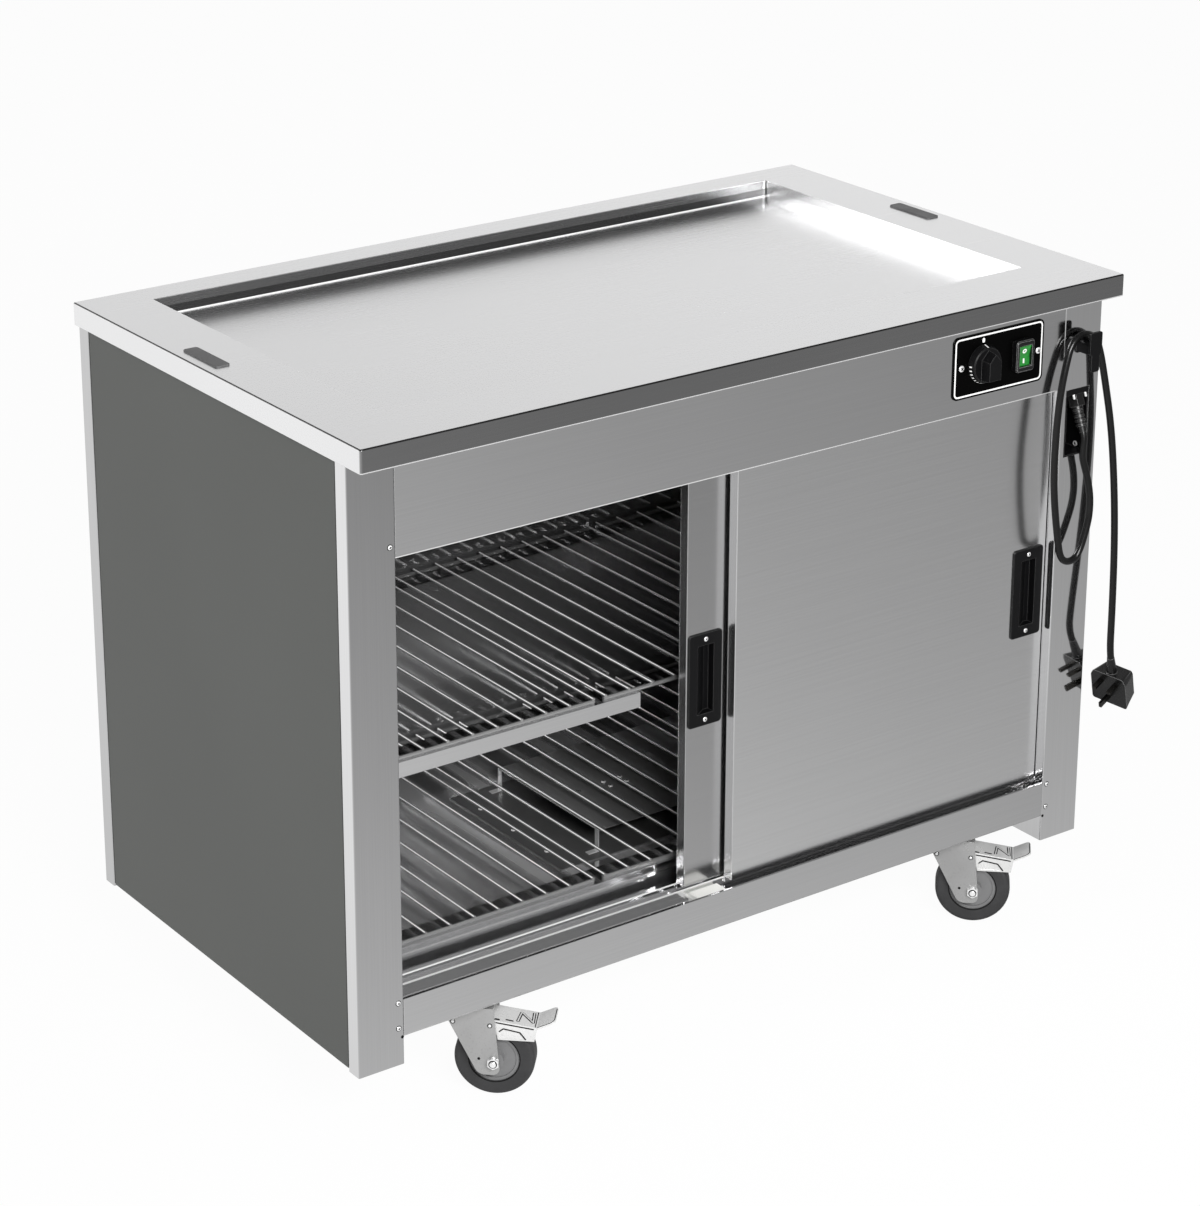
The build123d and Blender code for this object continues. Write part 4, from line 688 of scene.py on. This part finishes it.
class SERVERY_OT_mains_lead(bpy.types.Operator):
    """Lay the mains lead on its route, and finish its plug, gland, recess and hook."""

    bl_idname = "servery.mains_lead"
    bl_label = "Mains lead"

    def execute(self, context):
        size = sizes()
        black = finishes().rubber
        rubber = moulding("lead_rubber", black, 0.24, relief=0.004, wear=0.0, shine=0.35)
        shape = bpy.data.curves.new("mains_lead_run", "CURVE")
        shape.dimensions = "3D"
        shape.bevel_depth = size.lead_diameter / 2
        shape.bevel_resolution = 6
        shape.resolution_u = 12
        shape.use_fill_caps = True
        run = shape.splines.new("NURBS")
        run.points.add(len(LEAD_ROUTE) - 1)
        for point, place in zip(run.points, LEAD_ROUTE):
            point.co = (*place, 1.0)
        run.order_u = 3
        run.use_endpoint_u = True
        shape.materials.append(rubber)
        lead = add_object("mains_lead_run", shape)
        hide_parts("mains_lead")
        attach(lead, "cabinet")
        dress(rubber, "mains_lead")
        dress(moulding("plug_black", black, 0.28, relief=0.03, edge=0.0011, rim=0.30), "mains_plug")
        dress(moulding("gland_black", black, 0.30, relief=0.01, edge=0.0008, rim=0.25),
              "cord_gland")
        dress(rolled_sheet("dull_brass", (0.05, 0.048, 0.044), 0.35), "plug_pins")
        dress(plastic(), "cord_hook", "cord_entry_box")
        self.add_recess_screws()
        return {"FINISHED"}

    def add_recess_screws(self):
        """Two bolt ends under the gland's sloping seat, and a ring screw on the right wall with a
        disc of painted shade in its hole.
        """
        lean = radians(23)
        wall_thickness = 0.002
        bolt = ((0.0017, 0.0), (0.0017, 0.0052), (0.0012, 0.0062), (0.0, 0.0065))
        ring = ((0.0019, 0.0), (0.0019, 0.0010), (0.0027, 0.0014), (0.0036, 0.0009), (0.0037, 0.0))
        piece = bmesh.new()
        for x in (0.5350, 0.5555):
            seat = facing((x, -0.2990, 0.7342), (0, -sin(lean), -cos(lean)), (1, 0, 0))
            add_turned(piece, seat, bolt, steps=16)
        x = spot("cord_entry_box", 1.0, 0.0, 0.0).x - wall_thickness
        wall = facing((x, -0.2840, 0.6585), (-1, 0, 0))
        add_turned(piece, wall, ring)
        add_disc(piece, wall, 0.0018, 0.0004)
        store_piece("recess_screws", piece, "cabinet", "zinc_plate", screw_steel(), dark_recess())


class SERVERY_OT_counter(bpy.types.Operator):
    """Finish the worktop, its well and the blanking caps."""

    bl_idname = "servery.counter"
    bl_label = "Counter"

    def execute(self, context):
        look = finishes()
        low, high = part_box("worktop")
        rim = 0.0014

        def front_edge(flow):
            return flow.before("Y", low.y + 0.001, 0.002)

        def shade(flow):
            """Painted shade: a darker front edge, more so to the left, a dark line along the top's
            rim, and darker rims round the well.
            """
            face = front_edge(flow) * (0.62 - flow.axis("X").ramp(-0.45, 0.45) * 0.09)
            line = flow.before("Y", low.y + rim, 0.0004) + flow.before("X", low.x + rim, 0.0004)
            line = line * (1 - flow.before("Z", high.z - 0.0016, 0.0006))
            walls = self.well_walls(flow, 0.62, 0.35, 0.22)
            walls = walls * flow.before("Z", high.z - 0.0012, 0.0004)
            return (face + line + walls).clamp(0.0, 0.92)

        def glint(flow):
            """A painted highlight along the front edge's lower fold."""
            return front_edge(flow) * flow.before("Z", low.z + 0.0010, 0.0005) * 0.6

        dress(brushed_steel("counter_steel", look.counter, look.counter_gloss, ALONG_X,
                            shade=shade, glint=glint), "worktop")
        dress(brushed_steel("well_steel", look.counter, look.counter_gloss, ALONG_X,
                            shade=self.well_shade, glint=self.well_fold_highlight), "well_pan")
        dress(moulding("grey_cap", (0.10, 0.10, 0.102), 0.5, edge=0.0008), "gantry_socket_caps")
        return {"FINISHED"}

    def well_walls(self, flow, back, left, right):
        """The walls of the well, each by its own share."""
        inner, outer = WELL_END
        near, far = WELL_BACK
        ends = flow.band("X", -outer, -inner) * left + flow.band("X", inner, outer) * right
        wall = flow.band("Y", near, far) * flow.band("X", -outer, outer) * back
        return wall + ends * flow.band("Y", WELL_FRONT, near)

    def well_shade(self, flow):
        """Painted shade: the walls are darker than the floor."""
        above = 1 - flow.before("Z", WELL_FLOOR, 0.0004)
        return (self.well_walls(flow, 0.84, 0.45, 0.04) * above).clamp(0.0, 0.9)

    def well_fold_highlight(self, flow):
        """A painted highlight along the fold under the back wall."""
        return self.well_walls(flow, 1.0, 0.0, 0.0) * flow.band("Z", *WELL_FOLD)


class SERVERY_OT_carcass(bpy.types.Operator):
    """Finish the posts, fascia, rail and panels, and put the screws in the front posts."""

    bl_idname = "servery.carcass"
    bl_label = "Carcass"

    def execute(self, context):
        look = finishes()
        gloss = look.body_gloss
        front = spot("front_post_left", 0.0, 0.0, 0.0).y
        hem = spot("fascia", 0.0, 0.0, 0.0).z

        # Painted shade on the left front post's front face.
        def painted_front_shade(flow):
            return flow.before("Y", front + 0.0003) * 0.26

        # Painted highlight along the fascia's lower fold.
        def painted_hem_highlight(flow):
            return flow.before("Z", hem + 0.0010, 0.0005) * 0.5

        # Painted shade on the rail, deeper to the left.
        def painted_left_shade(flow):
            return (1 - flow.axis("X").ramp(-0.55, 0.35)) * 0.18

        # Painted light: the right posts are a lighter copy of the body steel.
        dress(brushed_steel("post_steel", scaled(look.body, 1.18), gloss * 0.6, ALONG_Z,
                            relief=0.002), "front_post_right", "rear_post_right")
        dress(brushed_steel("left_post_steel", look.body, gloss * 0.6, ALONG_Z, relief=0.002,
                            shade=painted_front_shade), "front_post_left")
        dress(brushed_steel("fascia_steel", look.body, gloss * 1.2, ALONG_X, relief=0.002,
                            glint=painted_hem_highlight), "fascia")
        dress(brushed_steel("rail_steel", look.body, gloss * 1.2, ALONG_X, relief=0.002,
                            edge=0.0012, shade=painted_left_shade), "bottom_rail")
        # Painted shade: the rear left post is a darker copy of the body steel.
        dress(brushed_steel("rear_post_steel", scaled(look.body, 0.74), gloss, ALONG_Z),
              "rear_post_left")
        dress(laminate("laminate_grey", look.laminate), "side_panel_left", "side_panel_right")
        dress(brushed_steel("back_sheet", scaled(look.body, 0.9), 0.26, ALONG_X),
              "rear_panel", "base_pan")
        self.add_post_screws(front)
        return {"FINISHED"}

    def add_post_screws(self, front):
        """Screws in rings of painted shade, and two small holes drawn as discs of painted shade."""
        radius = sizes().post_screw
        piece = bmesh.new()
        for x, z in POST_SCREWS:
            place = on_front(x, front, z, turn=0.4)
            add_disc(piece, place, radius * 1.3)
            add_screw(piece, place, radius)
        for x, z in POST_HOLES:
            add_disc(piece, on_front(x, front, z), 0.0021)
        store_piece("post_screws", piece, "cabinet", "stainless_body", screw_steel(), dark_recess())


class SERVERY_OT_cupboard(bpy.types.Operator):
    """Finish the cupboard's sheet, tracks, grids and heater."""

    bl_idname = "servery.cupboard"
    bl_label = "Cupboard"

    def execute(self, context):
        look = finishes()
        back = spot("cupboard_liner", 0.0, 1.0, 0.0).y - 0.004
        ridge = spot("door_sill_track", 0.0, 0.0, 1.0).z - 0.0014

        def painted_back_shade(flow):
            """Painted shade: the bearers are darker to the back."""
            return flow.axis("Y").ramp(0.0, 0.1) * 0.6

        def channel(flow):
            """Painted shade: the sill's front channel is darker."""
            return flow.before("Y", SILL_CHANNEL) * 0.25

        def crests(flow):
            """Painted highlights: the crests of the sill's rib and rear wall are bright."""
            both = flow.band("Y", *SILL_RIB) + flow.band("Y", *SILL_WALL)
            return both * (1 - flow.before("Z", ridge, 0.0006))

        def straps(flow):
            """A painted highlight on the straps that carry the heater's cover."""
            return flow.before("X", HEATER_STRAPS, 0.0004)

        dress(polished_sheet("cupboard_sheet", look.inner, 0.12, back),
              "cupboard_liner", "cupboard_ceiling", "floor_pan")
        dress(brushed_steel("track_steel", look.body, 0.16, ALONG_X), "door_top_track")
        dress(brushed_steel("bearer_steel", scaled(look.body, 1.12), 0.16, ALONG_X, shade=painted_back_shade),
              "upper_bearers", "lower_bearers")
        dress(brushed_steel("sill_steel", scaled(look.body, 1.2), 0.12, ALONG_X, relief=0.0004,
                            edge=0.0006, shade=channel, glint=crests), "door_sill_track")
        dress(plated_wire("bright_wire", look.wire), "upper_grids", "lower_grids")
        dress(rolled_sheet("heater_plate", grey(0.16), 0.34, metal=0.6), "heater_base")
        dress(rolled_sheet("heater_steel", grey(0.23), 0.30, metal=0.6, painted_parts=((straps, 0.86),)),
              "heater_cover")
        dress(rolled_sheet("element_sheath", (0.09, 0.085, 0.08), 0.45, spots=0.4),
              "heater_element")
        dress(nylon(), "door_centre_guide")
        self.add_heater_screws()
        return {"FINISHED"}

    def add_heater_screws(self):
        """Screws in rows across the heater's base plate and its cover."""
        places = []
        for node, across, along in (("heater_base", (-0.135, -0.112), (-0.060, 0.016, 0.093)),
                                    ("heater_cover", (0.010, 0.037), (-0.002, 0.014))):
            top = spot(node, 0.0, 0.0, 1.0).z
            places += [Matrix.Translation((x, y, top)) for x in across for y in along]
        store_screws("heater_screws", places, 0.0032, "cabinet", "heater_steel")


class SERVERY_OT_doors(bpy.types.Operator):
    """Finish the sliding doors, and put the screws in their pulls."""

    bl_idname = "servery.doors"
    bl_label = "Sliding doors"

    def execute(self, context):
        look = finishes()
        screw_reach = 0.054
        # Painted shade: the left door is a darker copy of the door steel.
        for side, level in (("left", 0.69), ("right", 1.0)):
            door = f"{side}_door"
            skin = brushed_steel(f"{side}_door_steel", scaled(look.door, level), look.door_gloss,
                                 ALONG_X)
            dress(skin, f"{door}_skin", f"{door}_back")
            dress(plastic(), f"{door}_pull")
            dress(nylon(), f"{door}_hangers")
            low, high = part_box(f"{door}_pull")
            middle = (low + high) / 2
            places = [on_front(middle.x, low.y, middle.z + rise, turn=0.5)
                      for rise in (-screw_reach, screw_reach)]
            store_screws(f"{door}_pull_screws", places, sizes().pull_screw, door, "black_plastic")
        return {"FINISHED"}


class SERVERY_OT_controls(bpy.types.Operator):
    """Finish the control plate, knob and switch, and print their marks."""

    bl_idname = "servery.controls"
    bl_label = "Controls"

    def execute(self, context):
        look = finishes()
        dress(moulding("plate_black", look.plate, 0.35, spark=700.0, relief=0.03, wear=0.0,
                       shine=0.04), "control_plate")
        dress(plastic(), "thermostat_knob", "thermostat")
        dress(moulding("bezel_black", look.plastic, 0.32, relief=0.03, wear=0.0, edge=0.0009,
                       rim=0.5), "switch_housing")
        dress(green_lens("rocker_green", look.lens), "switch_rocker")
        self.print_plate()
        self.mark_knob()
        self.mark_rocker()
        return {"FINISHED"}

    def print_plate(self):
        """A line round the plate, a pointer mark over the knob, and two screws."""
        size = sizes()
        low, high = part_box("control_plate")
        middle = (low + high) / 2
        knob = spot("thermostat_knob", 0.5, 0.0, 0.5)
        piece = bmesh.new()
        width, height = (extent - 2 * size.print_inset for extent in (high - low).xz)
        add_ring(piece, on_front(middle.x, low.y, middle.z), width, height, 0.0065,
                 size.print_line, size.print_rise)
        add_slab(piece, on_front(knob.x - 0.0010, low.y, knob.z + 0.0312), 0.0044, 0.0062,
                 size.print_rise, corner=0.0021)
        store_piece("plate_print", piece, "cabinet", "control_face", white_print())
        places = [on_front(x, low.y, CONTROL_ROW, turn=0.6) for x in PLATE_SCREWS]
        store_screws("plate_screws", places, size.plate_screw, "cabinet", "zinc_plate")

    def mark_knob(self):
        """Dashes round the lower left of the knob's conical skirt, and one on its top."""
        knob = spot("thermostat_knob", 0.5, 0.0, 0.5)
        back = spot("control_plate", 0.0, 0.0, 0.0).y - 0.0003
        deep, outer, inner = 0.009, 0.026, 0.023
        tilt = atan2(outer - inner, deep)
        piece = bmesh.new()
        marks = [(radians(178 + step * 12.5), 0.38, 0.0034) for step in range(9)]
        marks.append((pi / 2, 0.50, 0.0074))
        for angle, reach, run in marks:
            radius = outer + (inner - outer) * reach
            place = (knob.x + radius * cos(angle), back - deep * reach,
                     knob.z + radius * sin(angle))
            out = (cos(angle) * cos(tilt), -sin(tilt), sin(angle) * cos(tilt))
            add_slab(piece, facing(place, out, (0, -1, 0)), 0.0018, run, sizes().print_rise,
                     corner=0.0004, segments=2)
        store_piece("knob_marks", piece, "knob", "black_plastic", white_print())

    def mark_rocker(self):
        """A ring on the rocker's upper half and a stroke on its lower half."""
        tip, lean = 6.0, 8.43
        pivot = Matrix.Translation(ROCKER_PIVOT) @ Matrix.Rotation(radians(tip), 4, "X")
        face = pivot @ Matrix.Translation((0, -0.0025, 0))
        upper, lower = (face @ Matrix.Rotation(radians(turn), 4, "X") @ on_front(0.0, 0.0, reach)
                        for turn, reach in ((lean, 0.0066), (-lean, -0.0070)))
        rise = sizes().print_rise
        piece = bmesh.new()
        add_ring(piece, upper, 0.0066, 0.0064, 0.0030, 0.0018, rise)
        add_slab(piece, lower, 0.0025, 0.0062, rise)
        store_piece("rocker_marks", piece, "rocker", "green_lens", white_print())


class SERVERY_OT_castors(bpy.types.Operator):
    """Finish the castors, and add their rivets, nuts and pedal treads."""

    bl_idname = "servery.castors"
    bl_label = "Castors"

    def execute(self, context):
        look = finishes()
        dress(zinc(), "castor_plates")
        for corner, (x, y) in CASTORS.items():
            dress(zinc(), f"castor_fork_{corner}")
            dress(moulding("hub_grey", look.hub, 0.45, wear=0.1), f"castor_hub_{corner}")
            dress(tyre_rubber("tyre_rubber", look.tyre), f"castor_tyre_{corner}")
            place = Matrix.Translation((x, y, 0)) @ Matrix.Rotation(CASTOR_TURN, 4, "Z")
            self.add_leg_fittings(corner, place)
            if corner in BRAKED:
                dress(pedal_zinc(), f"castor_pedal_{corner}")
                self.add_tread(corner, place)
        return {"FINISHED"}

    def add_leg_fittings(self, corner, place):
        """Nut, rivets and a pressed dimple on each leg, with painted shade round the nut and rivets
        and for the dimple, and a groove of painted shade round the hub.
        """
        piece, seam = bmesh.new(), bmesh.new()
        nut_face, hub_face = 0.0294, 0.0150
        collar = ((0.0054, 0.0), (0.0054, 0.0003), (0.0040, 0.0003))
        groove = ((0.0312, 0.0), (0.0312, 0.0002), (0.0324, 0.0002), (0.0324, 0.0))
        dimple = (0.0252, 0.0543)
        rivets = [((-0.0066, 0.1036), 0.0022)]
        if corner in BRAKED:
            rivets.append(((0.0390, 0.1000), 0.0021))
        for side in (-1, 1):
            def at(point, out=LEG_FACE):
                u, z = point
                return place @ facing((u, side * out, z), (0, side, 0))
            add_hex_nut(piece, at(AXLE), 0.0080, 0.0055, 0.0040)
            add_turned(piece, at(AXLE, nut_face), collar, finish=1)
            for point, radius in rivets:
                dome = ((radius, 0.0), (radius * 0.9, 0.0007), (radius * 0.55, 0.0012),
                        (0.0, 0.0013))
                add_disc(piece, at(point), radius * 1.5)
                add_turned(piece, at(point), dome, steps=16)
            add_disc(piece, at(dimple), 0.0018, 0.0002)
            add_turned(seam, at(AXLE, hub_face), groove, steps=48)
        store_piece(f"castor_fittings_{corner}", piece, f"fork_{corner}", "zinc_plate",
                    screw_steel(), dark_recess())
        store_piece(f"castor_seam_{corner}", seam, f"wheel_{corner}", "tyre_rubber", dark_recess())

    def add_tread(self, corner, place):
        """Zigzag ribs on strips of painted shade, a fold line and two slots in painted shade on a
        pedal, and lines of painted shade on its tab and cheeks.
        """
        nose, heel = Vector((0.032, 0, 0.107)), Vector((0.096, 0, 0.098))
        fall = atan2(nose.z - heel.z, heel.x - nose.x)
        tread = place @ Matrix.Translation(nose) @ Matrix.Rotation(fall, 4, "Y")
        tab = place @ Matrix.Translation(heel) @ Matrix.Rotation(-atan2(0.010, 0.022), 4, "Y")
        zigzag = ((0.0402, -0.0110), (0.0426, 0.0110), (0.0588, -0.0086), (0.0580, 0.0145))
        slots = (((0.0625, -0.0180), (0.0625, 0.0180), 0.0012),
                 ((0.0130, -0.0155), (0.0175, -0.0155), 0.0034),
                 ((0.0260, -0.0125), (0.0345, -0.0130), 0.0026))
        rim = ((0.0008, -0.0187), (0.0175, -0.0187), (0.0216, -0.0166), (0.0234, -0.0125),
               (0.0234, 0.0130))
        arch = ((0.0500, 0.0905), (0.0550, 0.0945), (0.0752, 0.0905), (0.0824, 0.0812))
        brow = ((0.0460, 0.1024), (0.0920, 0.0958))
        half_width, mark, line = 0.0195, 0.00015, 0.00012
        piece = bmesh.new()
        for pair in zip(zigzag, zigzag[1:]):
            add_lines(piece, tread, pair, 0.0042, mark)
            add_lines(piece, tread, pair, 0.0017, sizes().tread_rib, finish=0)
        for start, end, width in slots:
            add_lines(piece, tread, (start, end), width, mark)
        add_lines(piece, tab, rim, 0.0013, line)
        for side in (-1, 1):
            cheek = place @ facing((0, side * half_width, 0), (0, side, 0))
            for points in (arch, brow):
                add_lines(piece, cheek, [(-side * u, z) for u, z in points], 0.0017, line)
        store_piece(f"pedal_tread_{corner}", piece, f"pedal_{corner}", "zinc_plate",
                    pedal_zinc(), dark_recess())


class SERVERY_OT_stage(bpy.types.Operator):
    """Lay the floor, hang the lamps and set the camera."""

    bl_idname = "servery.stage"
    bl_label = "Stage"

    def execute(self, context):
        stage = context.scene.servery_stage
        self.lay_floor(stage)
        self.light(context, stage)
        self.set_camera(context, stage)
        context.scene.view_settings.view_transform = "Standard"
        return {"FINISHED"}

    def lay_floor(self, stage):
        """Pale paper, white to the eye and paler to the back left in the steel."""
        shape = bmesh.new()
        bmesh.ops.create_grid(shape, x_segments=1, y_segments=1, size=stage.floor / 2)
        mesh = as_mesh("studio_floor", shape)
        material, flow = begin("studio_paper")
        camera, glossy, through = flow.rays()
        reach = flow.vector("LENGTH", flow.place())
        lean = (flow.axis("Y") * 0.44 - flow.axis("X") * 0.90) / (reach + 1.0)
        paper = (0.641 + lean * 0.489).clamp(0.15, 1.0)
        glow = flow.node("ShaderNodeEmission", inputs={"Color": glossy * paper + (1 - glossy)})
        matt = flow.node("ShaderNodeBsdfDiffuse", inputs={"Color": tint(grey(0.86))})
        seen = (camera * 0.96 + glossy + through).clamp()
        both = flow.node("ShaderNodeMixShader", inputs={0: seen, 1: matt, 2: glow})
        flow.node("ShaderNodeOutputMaterial", inputs={"Surface": both})
        material.cycles.emission_sampling = "NONE"
        mesh.materials.append(material)
        floor = add_object("studio_floor", mesh)

    def light(self, context, stage):
        """A grey room and two soft lamps. The steel sees a pale back wall and a dark ceiling."""
        world = bpy.data.worlds.new("studio_room")
        context.scene.world = world
        world.use_nodes = True
        world.node_tree.nodes.clear()
        world.cycles.sampling_method = "NONE"
        flow = Flow(world.node_tree)
        camera, glossy, through = flow.rays()
        heading = flow.node("ShaderNodeTexCoord", output="Generated")
        right, back, up = (flow.node("ShaderNodeSeparateXYZ", inputs={0: heading}, output=name)
                           for name in "XYZ")
        corner = (right.clamp(0.45, 1.0) - 0.45) * back.ramp(0.2, 0.6)
        wall = (0.52 + back * 0.44 + corner * 0.9) * (1.45 - up * 1.6).clamp(0.5, 1.15)
        wall = (wall * (1 - up.ramp(0.44, 0.62) * 0.55)).clamp(0.22, 1.0)
        seen = (camera + through).clamp()
        level = seen + (1 - seen) * (glossy * wall + (1 - glossy) * stage.ambient)
        room = flow.node("ShaderNodeBackground", inputs={"Color": level})
        flow.node("ShaderNodeOutputWorld", inputs={"Surface": room})
        middle = Vector((0, 0, 0.5))
        lamps = (("key_lamp", stage.key, (-0.9, -3.1, 2.2), 2.0, 0.9),
                 ("side_lamp", stage.side, (-2.9, 3.3, 2.3), 1.8, 1.8))
        for name, watts, place, width, height in lamps:
            lamp = bpy.data.lights.new(name, "AREA")
            lamp.shape = "RECTANGLE"
            lamp.size, lamp.size_y = width, height
            lamp.energy = watts
            holder = add_object(name, lamp)
            holder.location = place
            holder.rotation_euler = (middle - Vector(place)).to_track_quat("-Z", "Y").to_euler()
            holder.visible_camera = False

    def set_camera(self, context, stage):
        view = bpy.data.cameras.new("photo_camera")
        view.sensor_width = 36.0
        view.lens = stage.lens
        view.shift_x, view.shift_y = stage.shift
        view.clip_end = 200.0
        camera = add_object("photo_camera", view)
        camera.location = stage.place
        camera.rotation_euler = Euler(stage.angle)
        context.scene.camera = camera


OPERATORS = (SERVERY_OT_mains_lead, SERVERY_OT_counter, SERVERY_OT_carcass, SERVERY_OT_cupboard,
             SERVERY_OT_doors, SERVERY_OT_controls, SERVERY_OT_castors, SERVERY_OT_stage)


class SERVERY_PT_panel(bpy.types.Panel):
    """Sizes, finishes and steps of the servery unit."""

    bl_idname = "SERVERY_PT_panel"
    bl_label = "Servery unit"
    bl_space_type = "VIEW_3D"
    bl_region_type = "UI"
    bl_category = "Servery"

    def draw(self, context):
        for operator in OPERATORS:
            self.layout.operator(operator.bl_idname)
        for group in (getattr(context.scene, name) for name in GROUPS):
            box = self.layout.box()
            for name in group.bl_rna.properties.keys():
                if name not in ("rna_type", "name"):
                    box.prop(group, name)


GROUPS = {"servery_sizes": ServerySizes, "servery_finishes": ServeryFinishes,
          "servery_stage": ServeryStage}
CLASSES = (*GROUPS.values(), *OPERATORS, SERVERY_PT_panel)


def register():
    for kind in CLASSES:
        bpy.utils.register_class(kind)
    for name, kind in GROUPS.items():
        setattr(bpy.types.Scene, name, PointerProperty(type=kind))


def unregister():
    for name in GROUPS:
        delattr(bpy.types.Scene, name)
    for kind in reversed(CLASSES):
        bpy.utils.unregister_class(kind)


def main():
    register()
    bpy.ops.servery.mains_lead()
    bpy.ops.servery.counter()
    bpy.ops.servery.carcass()
    bpy.ops.servery.cupboard()
    bpy.ops.servery.doors()
    bpy.ops.servery.controls()
    bpy.ops.servery.castors()
    bpy.ops.servery.stage()


if __name__ == "__main__":
    main()
